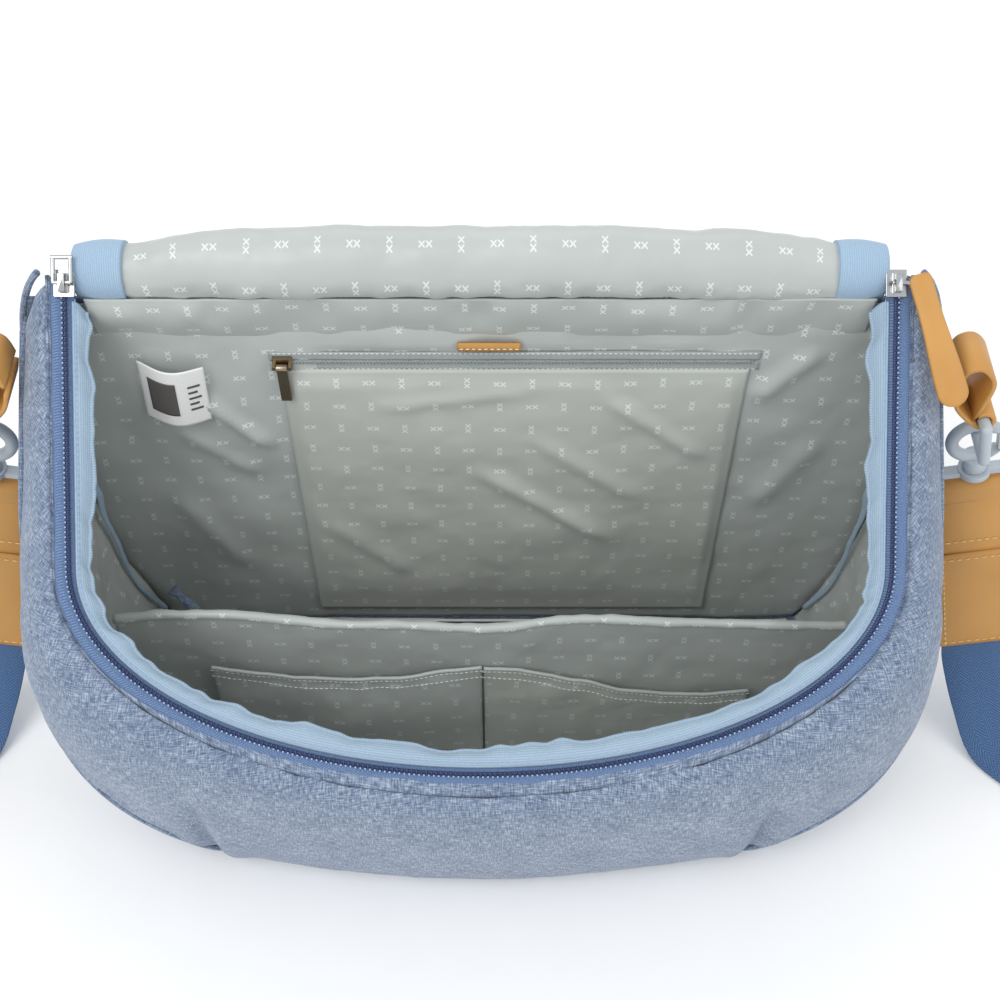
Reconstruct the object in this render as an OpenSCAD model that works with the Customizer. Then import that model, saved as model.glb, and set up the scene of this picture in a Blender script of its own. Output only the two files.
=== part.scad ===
// Soft diaper bag standing upright with its zipped lid thrown back over the rear wall.
// Origin: centre of the base on the floor. +X is the bag's right as seen from its front,
// +Y points to the rear wall, +Z is up. All sizes in millimetres.
// The body is one lofted wrap: a D-shaped outline on the floor joined to a D-shaped mouth
// that lies in a plane sloping down from the hinge to the front.

/* [Body] */
// half width of the base outline on the floor
base_half = 196; // [150:1:240]
// how far the rounded front of the base reaches ahead of the straight sides
base_round = 64; // [40:1:90]
// rear face of the straight sides
back_y = 84; // [60:1:110]
// y where the straight sides end and the rounded front begins
side_end_y = -25; // [-50:1:10]
// fabric wall thickness with its padding
wall = 3; // [2:0.5:6]
// outward bulge of the side walls
side_bulge = 34; // [15:1:50]
// outward bulge of the front wall
front_bulge = 13; // [5:1:30]

/* [Mouth] */
// half width of the mouth along the zip teeth
mouth_half = 200; // [160:1:240]
// how far the rounded front of the mouth reaches ahead of the straight sides
mouth_round = 76; // [50:1:100]
// height of the lid hinge line
hinge_z = 312; // [260:1:350]
// y of the lid hinge line
hinge_y = 91; // [80:1:120]
// slope of the mouth plane, rise over run
mouth_slope = 0.87; // [0.5:0.01:1.1]
// width of one zip tape beside its teeth
tape_w = 9; // [6:0.5:14]
// width of the binding band inside the mouth
binding_w = 12; // [8:0.5:18]

/* [Lid] */
// thickness of the lid's outer cloth
lid_cloth = 2.4; // [1.5:0.1:4]
// thickness of the lid's foam
lid_foam = 6; // [3:0.5:10]
// thickness of the lid's lining
lid_lining_t = 1.2; // [0.8:0.1:2]
// radius of the padded roll over the hinge
roll_r = 16; // [12:0.5:20]
// angle by which the open lid hangs out behind the rear wall
lid_hang = 3; // [1:0.5:10]

/* [Inside] */
// thickness of the satin lining
lining_t = 1.2; // [0.8:0.1:2]
// y of the divider's front face
divider_y = -10; // [-30:1:20]
// height of the divider
divider_h = 140; // [100:1:160]
// thickness of the padded divider
divider_t = 3; // [2:0.5:6]
// height of the two organiser pockets
pocket_h = 92; // [60:1:120]
// clear depth of an organiser pocket
pocket_gap = 6; // [5:0.5:12]
// length of the inner zip
inner_zip_l = 236; // [180:1:280]
// how far the inner zip lies below the hinge line
inner_zip_drop = 66; // [50:1:110]

/* [Side pocket] */
// height of a side pocket's upper edge as a share of the wall
side_pocket_top = 0.52; // [0.35:0.01:0.6]
// clear depth of a side pocket at its upper edge
side_pocket_gap = 9; // [6:0.5:14]

/* [Leather] */
// width of a leather loop
loop_w = 26; // [20:1:34]
// leather thickness
leather_t = 2.4; // [1.6:0.1:3.5]
// width of the strap's leather tab
tab_w = 42; // [36:1:50]
// length of the strap's leather tab
tab_l = 116; // [90:1:140]
// length of the right zip slider's leather puller
puller_l = 66; // [40:1:80]
// width of the right zip slider's leather puller
puller_w = 14; // [8:0.5:18]

/* [Hardware] */
// radius of the ring's plastic bar
bar_r = 3; // [2:0.1:4]
// running clearance round every pin and bar
run_clear = 0.35; // [0.3:0.01:0.5]
// drop from the ring's upper bar to its lower bar
ring_drop = 24; // [18:1:34]
// clear width of the ring
ring_w = 30; // [28:1:40]
// inner radius of the snap hook's bow
hook_r = 9; // [7:0.5:14]
// radius of the snap hook's rod
hook_rod = 3.4; // [2.5:0.1:5]
// outward lean of the hanging hook and tab
lean_out = 12; // [0:1:20]
// forward lean of the strap's leather tab
lean_fwd = 15; // [0:1:30]

/* [Strap] */
// width of the webbing
web_w = 38; // [30:1:44]
// thickness of the webbing
web_t = 1.8; // [1.2:0.1:3]

/* [Hidden] */
$fn = 48;
gap = 0.3;
steps_t = 44;
steps_v = 14;
ring_x = base_half + side_bulge + 22;
ring_y = 57;
ring_z = hinge_z - 72;
inner_zip_z = hinge_z - inner_zip_drop;
roll_y = hinge_y;
roll_z = hinge_z - 10;
lid_start = hinge_z - roll_z + roll_r + gap;

// which sub-part to draw

// ---- outlines and the wrap surface ----

function lerp(a, b, k) = a + (b - a) * k;
function clamp01(k) = min(1, max(0, k));
function ease(k) = clamp01(k) * clamp01(k) * (3 - 2 * clamp01(k));

// D outline: t = 0 at the front centre, |t| = 0.6 where the straight side begins, 1 at the rear
function d_curve(t, a, b, yb = back_y) =
    abs(t) <= 0.6
    ? [a * sin(150 * t), side_end_y - b * cos(150 * t)]
    : [sign(t) * a, lerp(side_end_y, yb, (abs(t) - 0.6) / 0.4)];

function mouth_z(y) = hinge_z - (hinge_y - y) * mouth_slope;

// belly profile from floor to mouth
function belly(v) = pow(max(0, 1 - pow(abs(2 * v - 1), 2.6)), 0.6);

function bulge(t) = lerp(front_bulge, side_bulge, ease((abs(t) - 0.1) / 0.5));

function out_dir(t) =
    abs(t) <= 0.6
    ? let (n = [mouth_round * sin(150 * t), -mouth_half * cos(150 * t)]) n / norm(n)
    : [sign(t), 0];

rim_half = mouth_half + tape_w;
rim_round = mouth_round + tape_w;

function wrap(t, v) =
    let (b = d_curve(t, base_half, base_round),
         r = d_curve(t, rim_half, rim_round),
         n = out_dir(t),
         k = bulge(t) * belly(v))
    [lerp(b[0], r[0], v) + n[0] * k,
     min(back_y, lerp(b[1], r[1], v) + n[1] * k),
     v * mouth_z(r[1])];

function wrap_normal(t, v) =
    let (h = 0.01,
         v0 = max(0.03, min(0.95, v)),
         a = wrap(min(1, t + h), v0) - wrap(max(-1, t - h), v0),
         c = wrap(t, v0 + h) - wrap(t, v0 - h),
         n = cross(a, c))
    n / norm(n);

// the wrap moved outward (positive) or inward (negative) by d
function skin(t, v, d) =
    let (p = wrap(t, v) + wrap_normal(t, v) * d)
    [p[0], min(p[1], back_y), max(p[2], 0)];

// shared heights of the wrap's rows, closer together near the floor and the mouth
function row_v(i, n = 20) = (1 - cos(180 * i / n)) / 2 * 0.6 + 0.4 * i / n;

// the front seam's t at each height: narrow at the floor, along the zip at the top
function seam_t(v) =
    v < 0.2 ? lerp(0.30, 0.34, v / 0.2)
    : v < 0.6 ? lerp(0.34, 0.62, (v - 0.2) / 0.4)
    : v < 0.86 ? lerp(0.62, 0.76, (v - 0.6) / 0.26)
    : min(0.985, lerp(0.76, 0.985, (v - 0.86) / 0.06));

// closed sheet between two grids of the same size; rows of points, outer first
module sheet_solid(outer, inner) {
    nr = len(outer);
    nc = len(outer[0]);
    m = nr * nc;
    pts = concat([for (r = outer) each r], [for (r = inner) each r]);
    faces = concat(
        [for (i = [0:nr - 2], j = [0:nc - 2])
            each [[i * nc + j, i * nc + j + nc, i * nc + j + 1],
                  [i * nc + j + 1, i * nc + j + nc, i * nc + j + nc + 1]]],
        [for (i = [0:nr - 2], j = [0:nc - 2])
            each [[m + i * nc + j, m + i * nc + j + 1, m + i * nc + j + nc],
                  [m + i * nc + j + 1, m + i * nc + j + nc + 1, m + i * nc + j + nc]]],
        [for (j = [0:nc - 2])
            each [[j, j + 1, m + j], [j + 1, m + j + 1, m + j]]],
        [for (j = [0:nc - 2])
            let (k = (nr - 1) * nc + j)
            each [[k, m + k, k + 1], [k + 1, m + k, m + k + 1]]],
        [for (i = [0:nr - 2])
            let (k = i * nc)
            each [[k, m + k, k + nc], [k + nc, m + k, m + k + nc]]],
        [for (i = [0:nr - 2])
            let (k = i * nc + nc - 1)
            each [[k, k + nc, m + k], [k + nc, m + k + nc, m + k]]]);
    polyhedron(pts, faces, convexity = 10);
}

// closed tube through rows of ring points
module tube_solid(rings) {
    n = len(rings);
    c = len(rings[0]);
    pts = [for (r = rings) each r];
    faces = concat(
        [for (i = [0:n - 2], j = [0:c - 1])
            let (a = i * c + j, b = i * c + (j + 1) % c)
            each [[a, b, a + c], [b, b + c, a + c]]],
        [for (j = [1:c - 2]) [0, j + 1, j]],
        [for (j = [1:c - 2]) [(n - 1) * c, (n - 1) * c + j, (n - 1) * c + j + 1]]);
    polyhedron(pts, faces, convexity = 10);
}

// ---- outer cloth ----

module front_panel() {
    color("#8697b2") {
        rows_o = [for (i = [0:20]) let (v = row_v(i))
            [for (j = [0:steps_t]) skin((2 * j / steps_t - 1) * seam_t(v), v, 0)]];
        rows_i = [for (i = [0:20]) let (v = row_v(i))
            [for (j = [0:steps_t]) skin((2 * j / steps_t - 1) * seam_t(v), v, -wall)]];
        sheet_solid(rows_o, rows_i);
    }
}

seam_gap = 0.006;
gusset_rows = 17;

function gusset_t(v, q) = lerp(seam_t(v) + seam_gap, 1, q);

module gusset(side) {
    color("#7f90ac") {
        rows_o = [for (i = [0:gusset_rows]) let (v = row_v(i))
            [for (j = [0:10]) skin(side * gusset_t(v, side > 0 ? j / 10 : 1 - j / 10), v, 0)]];
        rows_i = [for (i = [0:gusset_rows]) let (v = row_v(i))
            [for (j = [0:10]) skin(side * gusset_t(v, side > 0 ? j / 10 : 1 - j / 10), v, -wall)]];
        sheet_solid(rows_o, rows_i);
    }
}

module gusset_left() {
    gusset(-1);
}

module gusset_right() {
    gusset(1);
}

// side profile of the wrap at the rear corner, from floor to just under the mouth
function rear_profile(d, v1) = [for (i = [0:16]) let (v = v1 * i / 16, p = wrap(1, v)) [p[0] + d, p[2]]];

back_top = roll_z - roll_r - gap;

module plate_from_profile(d, y0, y1, z_top, z_low) {
    prof = [for (p = rear_profile(d, 1)) if (p[1] < z_top - 2 && p[1] > z_low + 1) p];
    right = concat([[base_half + d + 1, z_low]], prof, [[prof[len(prof) - 1][0] - 1, z_top]]);
    left = [for (i = [len(right) - 1:-1:0]) [-right[i][0], right[i][1]]];
    translate([0, y1, 0])
        rotate([90, 0, 0])
            linear_extrude(y1 - y0)
                polygon(concat(right, left));
}

module back_panel() {
    color("#7f90ac")
        plate_from_profile(0, back_y + gap, back_y + gap + wall, back_top, 0);
}

function base_outline(d) = concat(
    [for (i = [0:40]) d_curve(lerp(-0.6, 0.6, i / 40), base_half - d, base_round - d)],
    [[base_half - d, back_y - d], [-base_half + d, back_y - d]]);

module base_panel() {
    color("#75859f")
        linear_extrude(wall)
            polygon(base_outline(wall + gap));
}

module base_board() {
    color("#4a4d52")
        translate([0, 0, wall + gap])
            linear_extrude(2)
                polygon(base_outline(wall + 2));
}

function pocket_off(q) = gap + side_pocket_gap * ease(q);

module side_pocket(side) {
    color("#8697b2") {
        rows_o = [for (i = [0:9]) let (v = lerp(0.045, side_pocket_top, i / 9))
            [for (j = [0:8]) let (q = side > 0 ? j / 8 : 1 - j / 8)
                skin(side * lerp(0.66, 0.97, q), v,
                    pocket_off((i / 9) * 1.3) * pow(sin(lerp(0, 180, q)), 0.5) + gap + 1.8)]];
        rows_i = [for (i = [0:9]) let (v = lerp(0.045, side_pocket_top, i / 9))
            [for (j = [0:8]) let (q = side > 0 ? j / 8 : 1 - j / 8)
                skin(side * lerp(0.66, 0.97, q), v,
                    pocket_off((i / 9) * 1.3) * pow(sin(lerp(0, 180, q)), 0.5) + gap)]];
        sheet_solid(rows_o, rows_i);
    }
}

module side_pocket_left() {
    side_pocket(-1);
}

module side_pocket_right() {
    side_pocket(1);
}

// ---- lining ----

// room between the outer cloth and the lining that hangs inside it
lining_gap = 3.9;

module wrap_lining() {
    color("#a9aeab") {
        o = [for (i = [1:18]) let (v = row_v(i))
            [for (j = [0:44]) skin((j / 22 - 1) * 0.985, v, -wall - lining_gap)]];
        n = [for (i = [1:18]) let (v = row_v(i))
            [for (j = [0:44]) skin((j / 22 - 1) * 0.985, v, -wall - lining_gap - lining_t)]];
        sheet_solid(o, n);
    }
}

module back_lining() {
    color("#a9aeab")
        plate_from_profile(-wall - lining_gap - lining_t - gap, back_y - lining_t, back_y, back_top, 8);
}

module base_lining() {
    color("#a9aeab")
        translate([0, 0, wall + gap + 2 + gap])
            linear_extrude(lining_t)
                polygon(base_outline(wall + 4));
}

// ---- mouth, zip and binding ----

function mouth_point(t, grow, drop, yb = 76) =
    let (p = d_curve(t, mouth_half + grow, mouth_round + grow, yb))
    [p[0], p[1], mouth_z(p[1]) - drop];

// band along the mouth between two offsets from the teeth, in rows from rear left to rear right
module mouth_band(g0, g1, d0, d1, t, yb = 76, t_end = 1) {
    up = [for (k = [0:1])
        [for (j = [0:48]) mouth_point((j / 24 - 1) * t_end, k == 0 ? g1 : g0, k == 0 ? d1 : d0, yb)]];
    dn = [for (k = [0:1])
        [for (j = [0:48]) mouth_point((j / 24 - 1) * t_end, k == 0 ? g1 : g0, (k == 0 ? d1 : d0) + t, yb)]];
    sheet_solid(up, dn);
}

module body_zip_tape() {
    color("#4b6694")
        mouth_band(1.6, tape_w - wall - gap, 0.9, 1.2, 1);
}

module body_zip_teeth() {
    color("#2f4272")
        tube_solid([for (j = [0:60]) let (t = j / 30 - 1)
            [for (q = [[0.2, 0.6], [0.2, -1.6], [1.3, -1.6], [1.3, 0.6]])
                mouth_point(t, q[0], -q[1])]]);
}

module mouth_binding() {
    color("#a9bdd0")
        mouth_band(-binding_w, -0.6, 9.5, 2.6, 1.4, 72);
}

// ---- lid, drawn closed in its own frame and swung open ----

// lid frame: s runs from the hinge along the mouth plane, n is height above the plane
slope_a = atan(mouth_slope);

function lid_s(y) = (hinge_y - y) / cos(slope_a);

// half width at a distance s from the hinge
function lid_outline(grow, n = 40) =
    [for (i = [0:n]) let (p = d_curve(lerp(-0.6, 0.6, i / n), mouth_half + grow, mouth_round + grow))
        [p[0], lid_s(p[1])]];

module lid_map() {
    // a flat drawing in x and s, thickness along z, hung behind the rear wall
    translate([0, hinge_y, hinge_z])
        rotate([-90 + lid_hang, 0, 0])
            children();
}

module lid_slab(grow, n0, n1, s0) {
    pts = concat(lid_outline(grow), [[mouth_half + grow, s0], [-mouth_half - grow, s0]]);
    lid_map()
        translate([0, 0, n0])
            linear_extrude(n1 - n0)
                polygon(pts);
}

lid_n0 = 0.5;

module lid_shell() {
    color("#8697b2")
        lid_slab(-4, lid_n0, lid_n0 + lid_cloth, lid_start);
}

module lid_padding() {
    color("#d8d8d4")
        lid_slab(-binding_w - 2, lid_n0 + lid_cloth + gap, lid_n0 + lid_cloth + gap + lid_foam, lid_start + 4);
}

module lid_lining() {
    color("#a9aeab")
        lid_slab(-binding_w - 1.6, lid_n0 + lid_cloth + lid_foam + 2 * gap,
            lid_n0 + lid_cloth + lid_foam + 2 * gap + lid_lining_t, lid_start);
}

// flat ring along the lid's curved edge between two outlines
module lid_edge(g0, g1, n0, n1, s0) {
    outer = concat(lid_outline(g1), [[mouth_half + g1, s0]]);
    inner = concat(lid_outline(g0), [[mouth_half + g0, s0]]);
    pts = concat(outer, [for (i = [len(inner) - 1:-1:0]) inner[i]],
        [[-mouth_half - g0, s0], [-mouth_half - g1, s0]]);
    lid_map()
        translate([0, 0, n0])
            linear_extrude(n1 - n0)
                polygon(pts);
}

module lid_zip_tape() {
    color("#4b6694")
        lid_edge(-3.7, -1.6, lid_n0 + 0.6, lid_n0 + 1.8, lid_start);
}

module lid_zip_teeth() {
    color("#2f4272")
        lid_edge(-1.3, -0.2, lid_n0, lid_n0 + 1.5, lid_start);
}

// ---- padded roll over the hinge ----

module hinge_roll() {
    color("#b4b8b5")
        translate([-mouth_half + 12, roll_y, roll_z])
            rotate([0, 90, 0])
                cylinder(r = roll_r, h = 2 * mouth_half - 24);
}

module hinge_binding() {
    color("#a9bdd0")
        for (side = [-1, 1])
            translate([side * (mouth_half - 8.7) - 3, roll_y, roll_z])
                rotate([0, 90, 0])
                    cylinder(r = roll_r - 0.5, h = 6);
}

// ---- inside ----

inner_half = 186;

module divider() {
    color("#b0b5b2")
        translate([-inner_half, divider_y, wall + gap + 2 + 2 * gap + lining_t])
            cube([2 * inner_half, divider_t, divider_h - 8]);
}

module organiser_pocket(x0, x1, h0, h1) {
    z0 = wall + gap + 2 + 2 * gap + lining_t;
    color("#b8bdba")
        translate([0, divider_y - gap, 0])
            difference() {
                rotate([90, 0, 0])
                    linear_extrude(pocket_gap + 1.2)
                        polygon([[x0, z0], [x1, z0], [x1, h1],
                            [lerp(x0, x1, 0.5), lerp(h0, h1, 0.5) - 10], [x0, h0]]);
                translate([x0 + 3, -pocket_gap, z0 + 2])
                    cube([x1 - x0 - 6, pocket_gap + 1, pocket_h + 60]);
            }
}

module organiser_pocket_left() {
    organiser_pocket(-150, -0.6, pocket_h + 8, pocket_h + 8);
}

module organiser_pocket_right() {
    organiser_pocket(0.6, 150, pocket_h + 8, pocket_h - 18);
}

zip_x0 = -101;

module zip_pocket_patch() {
    color("#b0b5b2")
        translate([zip_x0 - 3, back_y - lining_t - gap - 1, 20])
            cube([inner_zip_l + 6, 1, inner_zip_z - 20 - 6.5]);
}

module inner_zip_tape() {
    color("#9aa0a0")
        translate([zip_x0 - 8, back_y - lining_t - gap - 1, inner_zip_z - 6]) {
            cube([inner_zip_l + 16, 1, 12]);
            translate([3, -1, 4.6])
                cube([inner_zip_l + 10, 1.01, 2.8]);
        }
}

inner_slider_y = back_y - lining_t - gap - 2 - gap;
bail_y = -4.7;

module inner_zip_slider() {
    color("#a89c8c")
        translate([zip_x0 - 1, inner_slider_y, inner_zip_z]) {
            translate([-5, -2.2, -4])
                cube([10, 2.2, 8]);
            for (s = [-1, 1])
                translate([s * 4.1 - 0.8, bail_y - 0.8, -1.2])
                    cube([1.6, -bail_y - 1.3, 2.4]);
            translate([-4.1, bail_y, 0])
                rotate([0, 90, 0])
                    cylinder(r = 0.8, h = 8.2);
        }
}

module inner_zip_pull() {
    color("#a89c8c")
        translate([zip_x0 - 1, inner_slider_y + bail_y, inner_zip_z])
            difference() {
                union() {
                    translate([-2.8, 0, 0])
                        rotate([0, 90, 0])
                            cylinder(r = 2.1, h = 5.6);
                    translate([-2.8, -0.8, -24])
                        cube([5.6, 1.6, 23]);
                }
                translate([-4, 0, 0])
                    rotate([0, 90, 0])
                        cylinder(r = 0.8 + run_clear, h = 8);
            }
}

module leather_label() {
    color("#d9a05c")
        translate([-12, back_y - lining_t - gap - 1.6, inner_zip_z + 8])
            cube([32, 1.6, 7]);
}

module care_label() {
    color("#f2f2ef")
        translate([-178, back_y - lining_t - gap - 0.8, inner_zip_z - 38])
            cube([34, 0.8, 42]);
}

// ---- zip sliders at the rear ends of the mouth ----

slider_y = 79;
slider_l = 13;

// local frame on the mouth plane: x across, y along the zip toward the rear, z off the plane
module on_mouth(side) {
    translate([side * mouth_half, slider_y, mouth_z(slider_y)])
        rotate([slope_a, 0, 0])
            children();
}

module slider_body() {
    difference() {
        union() {
            translate([-5, -slider_l / 2, 0.8])
                cube([10, slider_l, 2]);
            translate([-1.6, -4.5, 2.7])
                cube([3.2, 9, 5.4]);
        }
        translate([-3, 0, 6])
            rotate([0, 90, 0])
                cylinder(r = 1 + run_clear, h = 6);
    }
}

module slider_left() {
    color("#b9bcc0")
        on_mouth(-1)
            slider_body();
}

module slider_right() {
    color("#b9bcc0")
        on_mouth(1)
            slider_body();
}

module pull_ring_left() {
    color("#b9bcc0")
        on_mouth(-1) {
            translate([-4.4, 0, 6])
                rotate([0, 90, 0])
                    cylinder(r = 1, h = 8.8);
            for (s = [-1, 1])
                translate([s * 4.2, 0, 6])
                    rotate([-90, 0, 0])
                        cylinder(r = 1, h = 12);
            translate([-5.2, 12, 6])
                rotate([0, 90, 0])
                    cylinder(r = 1, h = 10.4);
        }
}

// the leather puller hangs on a wire beside the slider and lies forward along the zip
puller_turn = 17;

module leather_puller() {
    color("#dd9f52")
        on_mouth(1) {
            translate([-3, 0, 6])
                rotate([0, 90, 0])
                    cylinder(r = 1, h = 7.4);
            translate([3, -1, 4.8])
                cube([3, 3, 2.4]);
            translate([9.5, 4, 4.5])
                rotate([0, 0, puller_turn])
                    translate([0, -puller_l / 2, 0])
                        linear_extrude(3.2)
                            union() {
                                translate([0, puller_w / 4])
                                    square([puller_w, puller_l - puller_w / 2], center = true);
                                translate([0, -puller_l / 2 + puller_w / 2])
                                    circle(r = puller_w / 2);
                            }
        }
}

// ---- leather loops, rings, snap hooks and tabs ----

module mirrored(side) {
    if (side > 0)
        children();
    else
        mirror([1, 0, 0])
            children();
}

loop_in = 34;
loop_up = 16;

// the side wall's x at a given y and height
function side_x(y, z) =
    let (v = z / mouth_z(y))
    lerp(base_half, rim_half, v) + side_bulge * belly(v);

loop_skew = atan((side_x(ring_y + loop_w / 2, ring_z + loop_up) - side_x(ring_y - loop_w / 2, ring_z + loop_up)) / loop_w);

module leather_loop(side) {
    color("#d9a05c")
        mirrored(side)
            difference() {
                translate([ring_x, ring_y + loop_w / 2, ring_z])
                    rotate([90, 0, 0])
                        linear_extrude(loop_w)
                            difference() {
                                union() {
                                    circle(r = bar_r + run_clear + leather_t);
                                    polygon([[-bar_r - leather_t, 0], [bar_r + leather_t, 0],
                                        [-loop_in + 6, loop_up + 5.2], [-loop_in, loop_up]]);
                                }
                                circle(r = bar_r + run_clear);
                            }
                // cut the root to lie against the side wall
                translate([side_x(ring_y, ring_z + loop_up - 3) + gap + 1.3, ring_y, ring_z])
                    rotate([0, 0, -loop_skew])
                        translate([-40, -40, -20])
                            cube([40, 80, 80]);
            }
}

module leather_loop_left() {
    leather_loop(-1);
}

module leather_loop_right() {
    leather_loop(1);
}

module rod(p, q, r) {
    d = q - p;
    translate(p)
        rotate([0, acos(d[2] / norm(d)), atan2(d[1], d[0])])
            cylinder(r = r, h = norm(d));
}

module plastic_ring(side) {
    h = ring_w / 2 + bar_r;
    color("#bcc2c6")
        mirrored(side)
            translate([ring_x, ring_y, ring_z])
                rotate([0, -lean_out, 0]) {
                    for (z = [0, -ring_drop])
                        rod([0, -h, z], [0, h, z], bar_r);
                    for (y = [-h, h]) {
                        rod([0, y, 0], [0, y, -ring_drop], bar_r);
                        for (z = [0, -ring_drop])
                            translate([0, y, z])
                                sphere(r = bar_r);
                    }
                }
}

module plastic_ring_left() {
    plastic_ring(-1);
}

module plastic_ring_right() {
    plastic_ring(1);
}

// frame at the ring's lower bar, z pointing back up the hanging line
module at_hook(side) {
    mirrored(side)
        translate([ring_x, ring_y, ring_z])
            rotate([0, -lean_out, 0])
                translate([0, 0, -ring_drop])
                    children();
}

bow = hook_r + hook_rod;
bow_z = bar_r + run_clear - hook_r;

module snap_hook(side) {
    color("#c3c8cb")
        at_hook(side)
            translate([0, 0, bow_z]) {
                difference() {
                    rotate([90, 0, 0])
                        rotate_extrude()
                            translate([bow, 0])
                                circle(r = hook_rod, $fn = 24);
                    // mouth of the hook on its outer side
                    translate([0, -6, -bow * 0.62])
                        cube([bow + 8, 12, bow * 1.24]);
                }
                // neck and barrel toward the swivel
                difference() {
                    translate([0, 0, -bow - 9])
                        cylinder(r = 6.5, h = 9);
                    translate([0, 0, -bow - 10])
                        cylinder(r = post_r + run_clear, h = 10.4 - hook_rod);
                }
            }
}

module snap_hook_left() {
    snap_hook(-1);
}

module snap_hook_right() {
    snap_hook(1);
}

gate_x = bow;
post_r = 2.4;

module hook_gate(side) {
    color("#aab0b4")
        at_hook(side)
            translate([0, 0, bow_z])
                translate([gate_x - 1.6, -2.6, -bow * 0.62 + gap + 0.2])
                    cube([3.2, 5.2, bow * 1.24 - 2 * gap - 0.4]);
}

module hook_gate_left() {
    hook_gate(-1);
}

module hook_gate_right() {
    hook_gate(1);
}

barrel_low = bow_z - bow - 9;

module swivel_bar(side) {
    color("#bcc2c6")
        at_hook(side) {
            translate([0, 0, barrel_low - gap - 4])
                cylinder(r = 8.5, h = 4);
            translate([0, 0, barrel_low - gap - 1])
                cylinder(r = post_r, h = 10 - hook_rod);
            // two cheeks carry the bar that the tab wraps round
            for (s = [-1, 1])
                translate([s * (tab_w / 2 + 2.4) - 1.8, -3, barrel_low - gap - 17])
                    cube([3.6, 6, 16]);
            translate([-tab_w / 2 - 4.2, -3, barrel_low - gap - 4.5])
                cube([tab_w + 8.4, 6, 3.5]);
            translate([-tab_w / 2 - 3, 0, barrel_low - gap - 14])
                rotate([0, 90, 0])
                    cylinder(r = 2.4, h = tab_w + 6);
        }
}

module swivel_bar_left() {
    swivel_bar(-1);
}

module swivel_bar_right() {
    swivel_bar(1);
}

tab_z = barrel_low - gap - 14;

// frame at the swivel bar's axis, leaning forward
module at_tab(side) {
    at_hook(side)
        translate([0, 0, tab_z])
            rotate([-lean_fwd, 0, 0])
                children();
}

module leather_tab(side) {
    ro = 2.4 + run_clear + leather_t;
    color("#dba45e")
        at_tab(side)
            translate([-tab_w / 2, 0, 0])
                rotate([90, 0, 90])
                    linear_extrude(tab_w)
                        difference() {
                            union() {
                                circle(r = ro);
                                polygon([[-ro, 0], [ro, 0], [3.2, -14], [3.2, -tab_l], [-3.2, -tab_l], [-3.2, -14]]);
                            }
                            circle(r = 2.4 + run_clear);
                            // slot between the two layers for the webbing's end
                            translate([-web_t / 2 - gap, -tab_l - 1])
                                square([web_t + 2 * gap, 31]);
                        }
}

module leather_tab_left() {
    leather_tab(-1);
}

module leather_tab_right() {
    leather_tab(1);
}

// ---- webbing strap: route of its centre line and the direction of its width ----

// end of a tab in the bag's frame, a distance l below the swivel bar's axis
function tab_point(side, l) =
    let (a = [0, -l * sin(lean_fwd), -l * cos(lean_fwd) + tab_z - ring_drop])
    [side * (ring_x + a[0] * cos(lean_out) - a[2] * sin(lean_out)),
     ring_y + a[1],
     ring_z + a[0] * sin(lean_out) + a[2] * cos(lean_out)];

module webbing_strap() {
    color("#4b6c9b")
        tube_solid([for (i = [0:len(route) - 1])
            let (p = route[i][0],
                 w = route[i][1] / norm(route[i][1]),
                 a = route[max(0, i - 1)][0],
                 b = route[min(len(route) - 1, i + 1)][0],
                 g = (b - a) / norm(b - a),
                 u = (w - g * (w * g)) / norm(w - g * (w * g)),
                 n = cross(g, u))
            [p + u * web_w / 2 + n * web_t / 2, p + u * web_w / 2 - n * web_t / 2,
             p - u * web_w / 2 - n * web_t / 2, p - u * web_w / 2 + n * web_t / 2]]);
}

// smooth curve through hand-chosen points
function spline(p0, p1, p2, p3, k) =
    0.5 * ((2 * p1) + (p2 - p0) * k + (2 * p0 - 5 * p1 + 4 * p2 - p3) * k * k
        + (3 * p1 - p0 - 3 * p2 + p3) * k * k * k);

tab_e = tab_point(1, tab_l - 26);
tab_f = tab_point(1, tab_l);
tab_g = tab_point(1, tab_l + 16);
tab_side = [cos(lean_out), 0, sin(lean_out)];
half_route = [
    [tab_e, tab_side],
    [tab_f, tab_side],
    [tab_g, tab_side],
    [[301, 8, 26], [1, 0.1, 0.1]],
    [[312, -10, 4], [1, 0.4, 0]],
    [[334, -28, web_t], [0.7, 1, 0]],
    [[362, -26, web_t], [-0.5, 1, 0]],
    [[377, 2, web_t], [-1, 0.2, 0]],
    [[366, 40, web_t], [-1, -0.4, 0]],
    [[336, 82, web_t], [-1, -0.7, 0]],
    [[286, 120, web_t], [-0.6, -1, 0]],
    [[210, 146, web_t], [-0.3, -1, 0]],
    [[100, 156, web_t], [0, -1, 0]]];
knots = concat(half_route,
    [for (i = [len(half_route) - 1:-1:0]) let (p = half_route[i][0], w = half_route[i][1])
        [[-p[0], p[1], p[2]], [-w[0], w[1], w[2]]]]);
route_n = 3;
route = concat([for (i = [0:len(knots) - 2], k = [0:route_n - 1])
    let (a = knots[max(0, i - 1)], b = knots[i], c = knots[i + 1], d = knots[min(len(knots) - 1, i + 2)])
    [spline(a[0], b[0], c[0], d[0], k / route_n), spline(a[1], b[1], c[1], d[1], k / route_n)]],
    [knots[len(knots) - 1]]);

// ---- output ----

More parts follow.
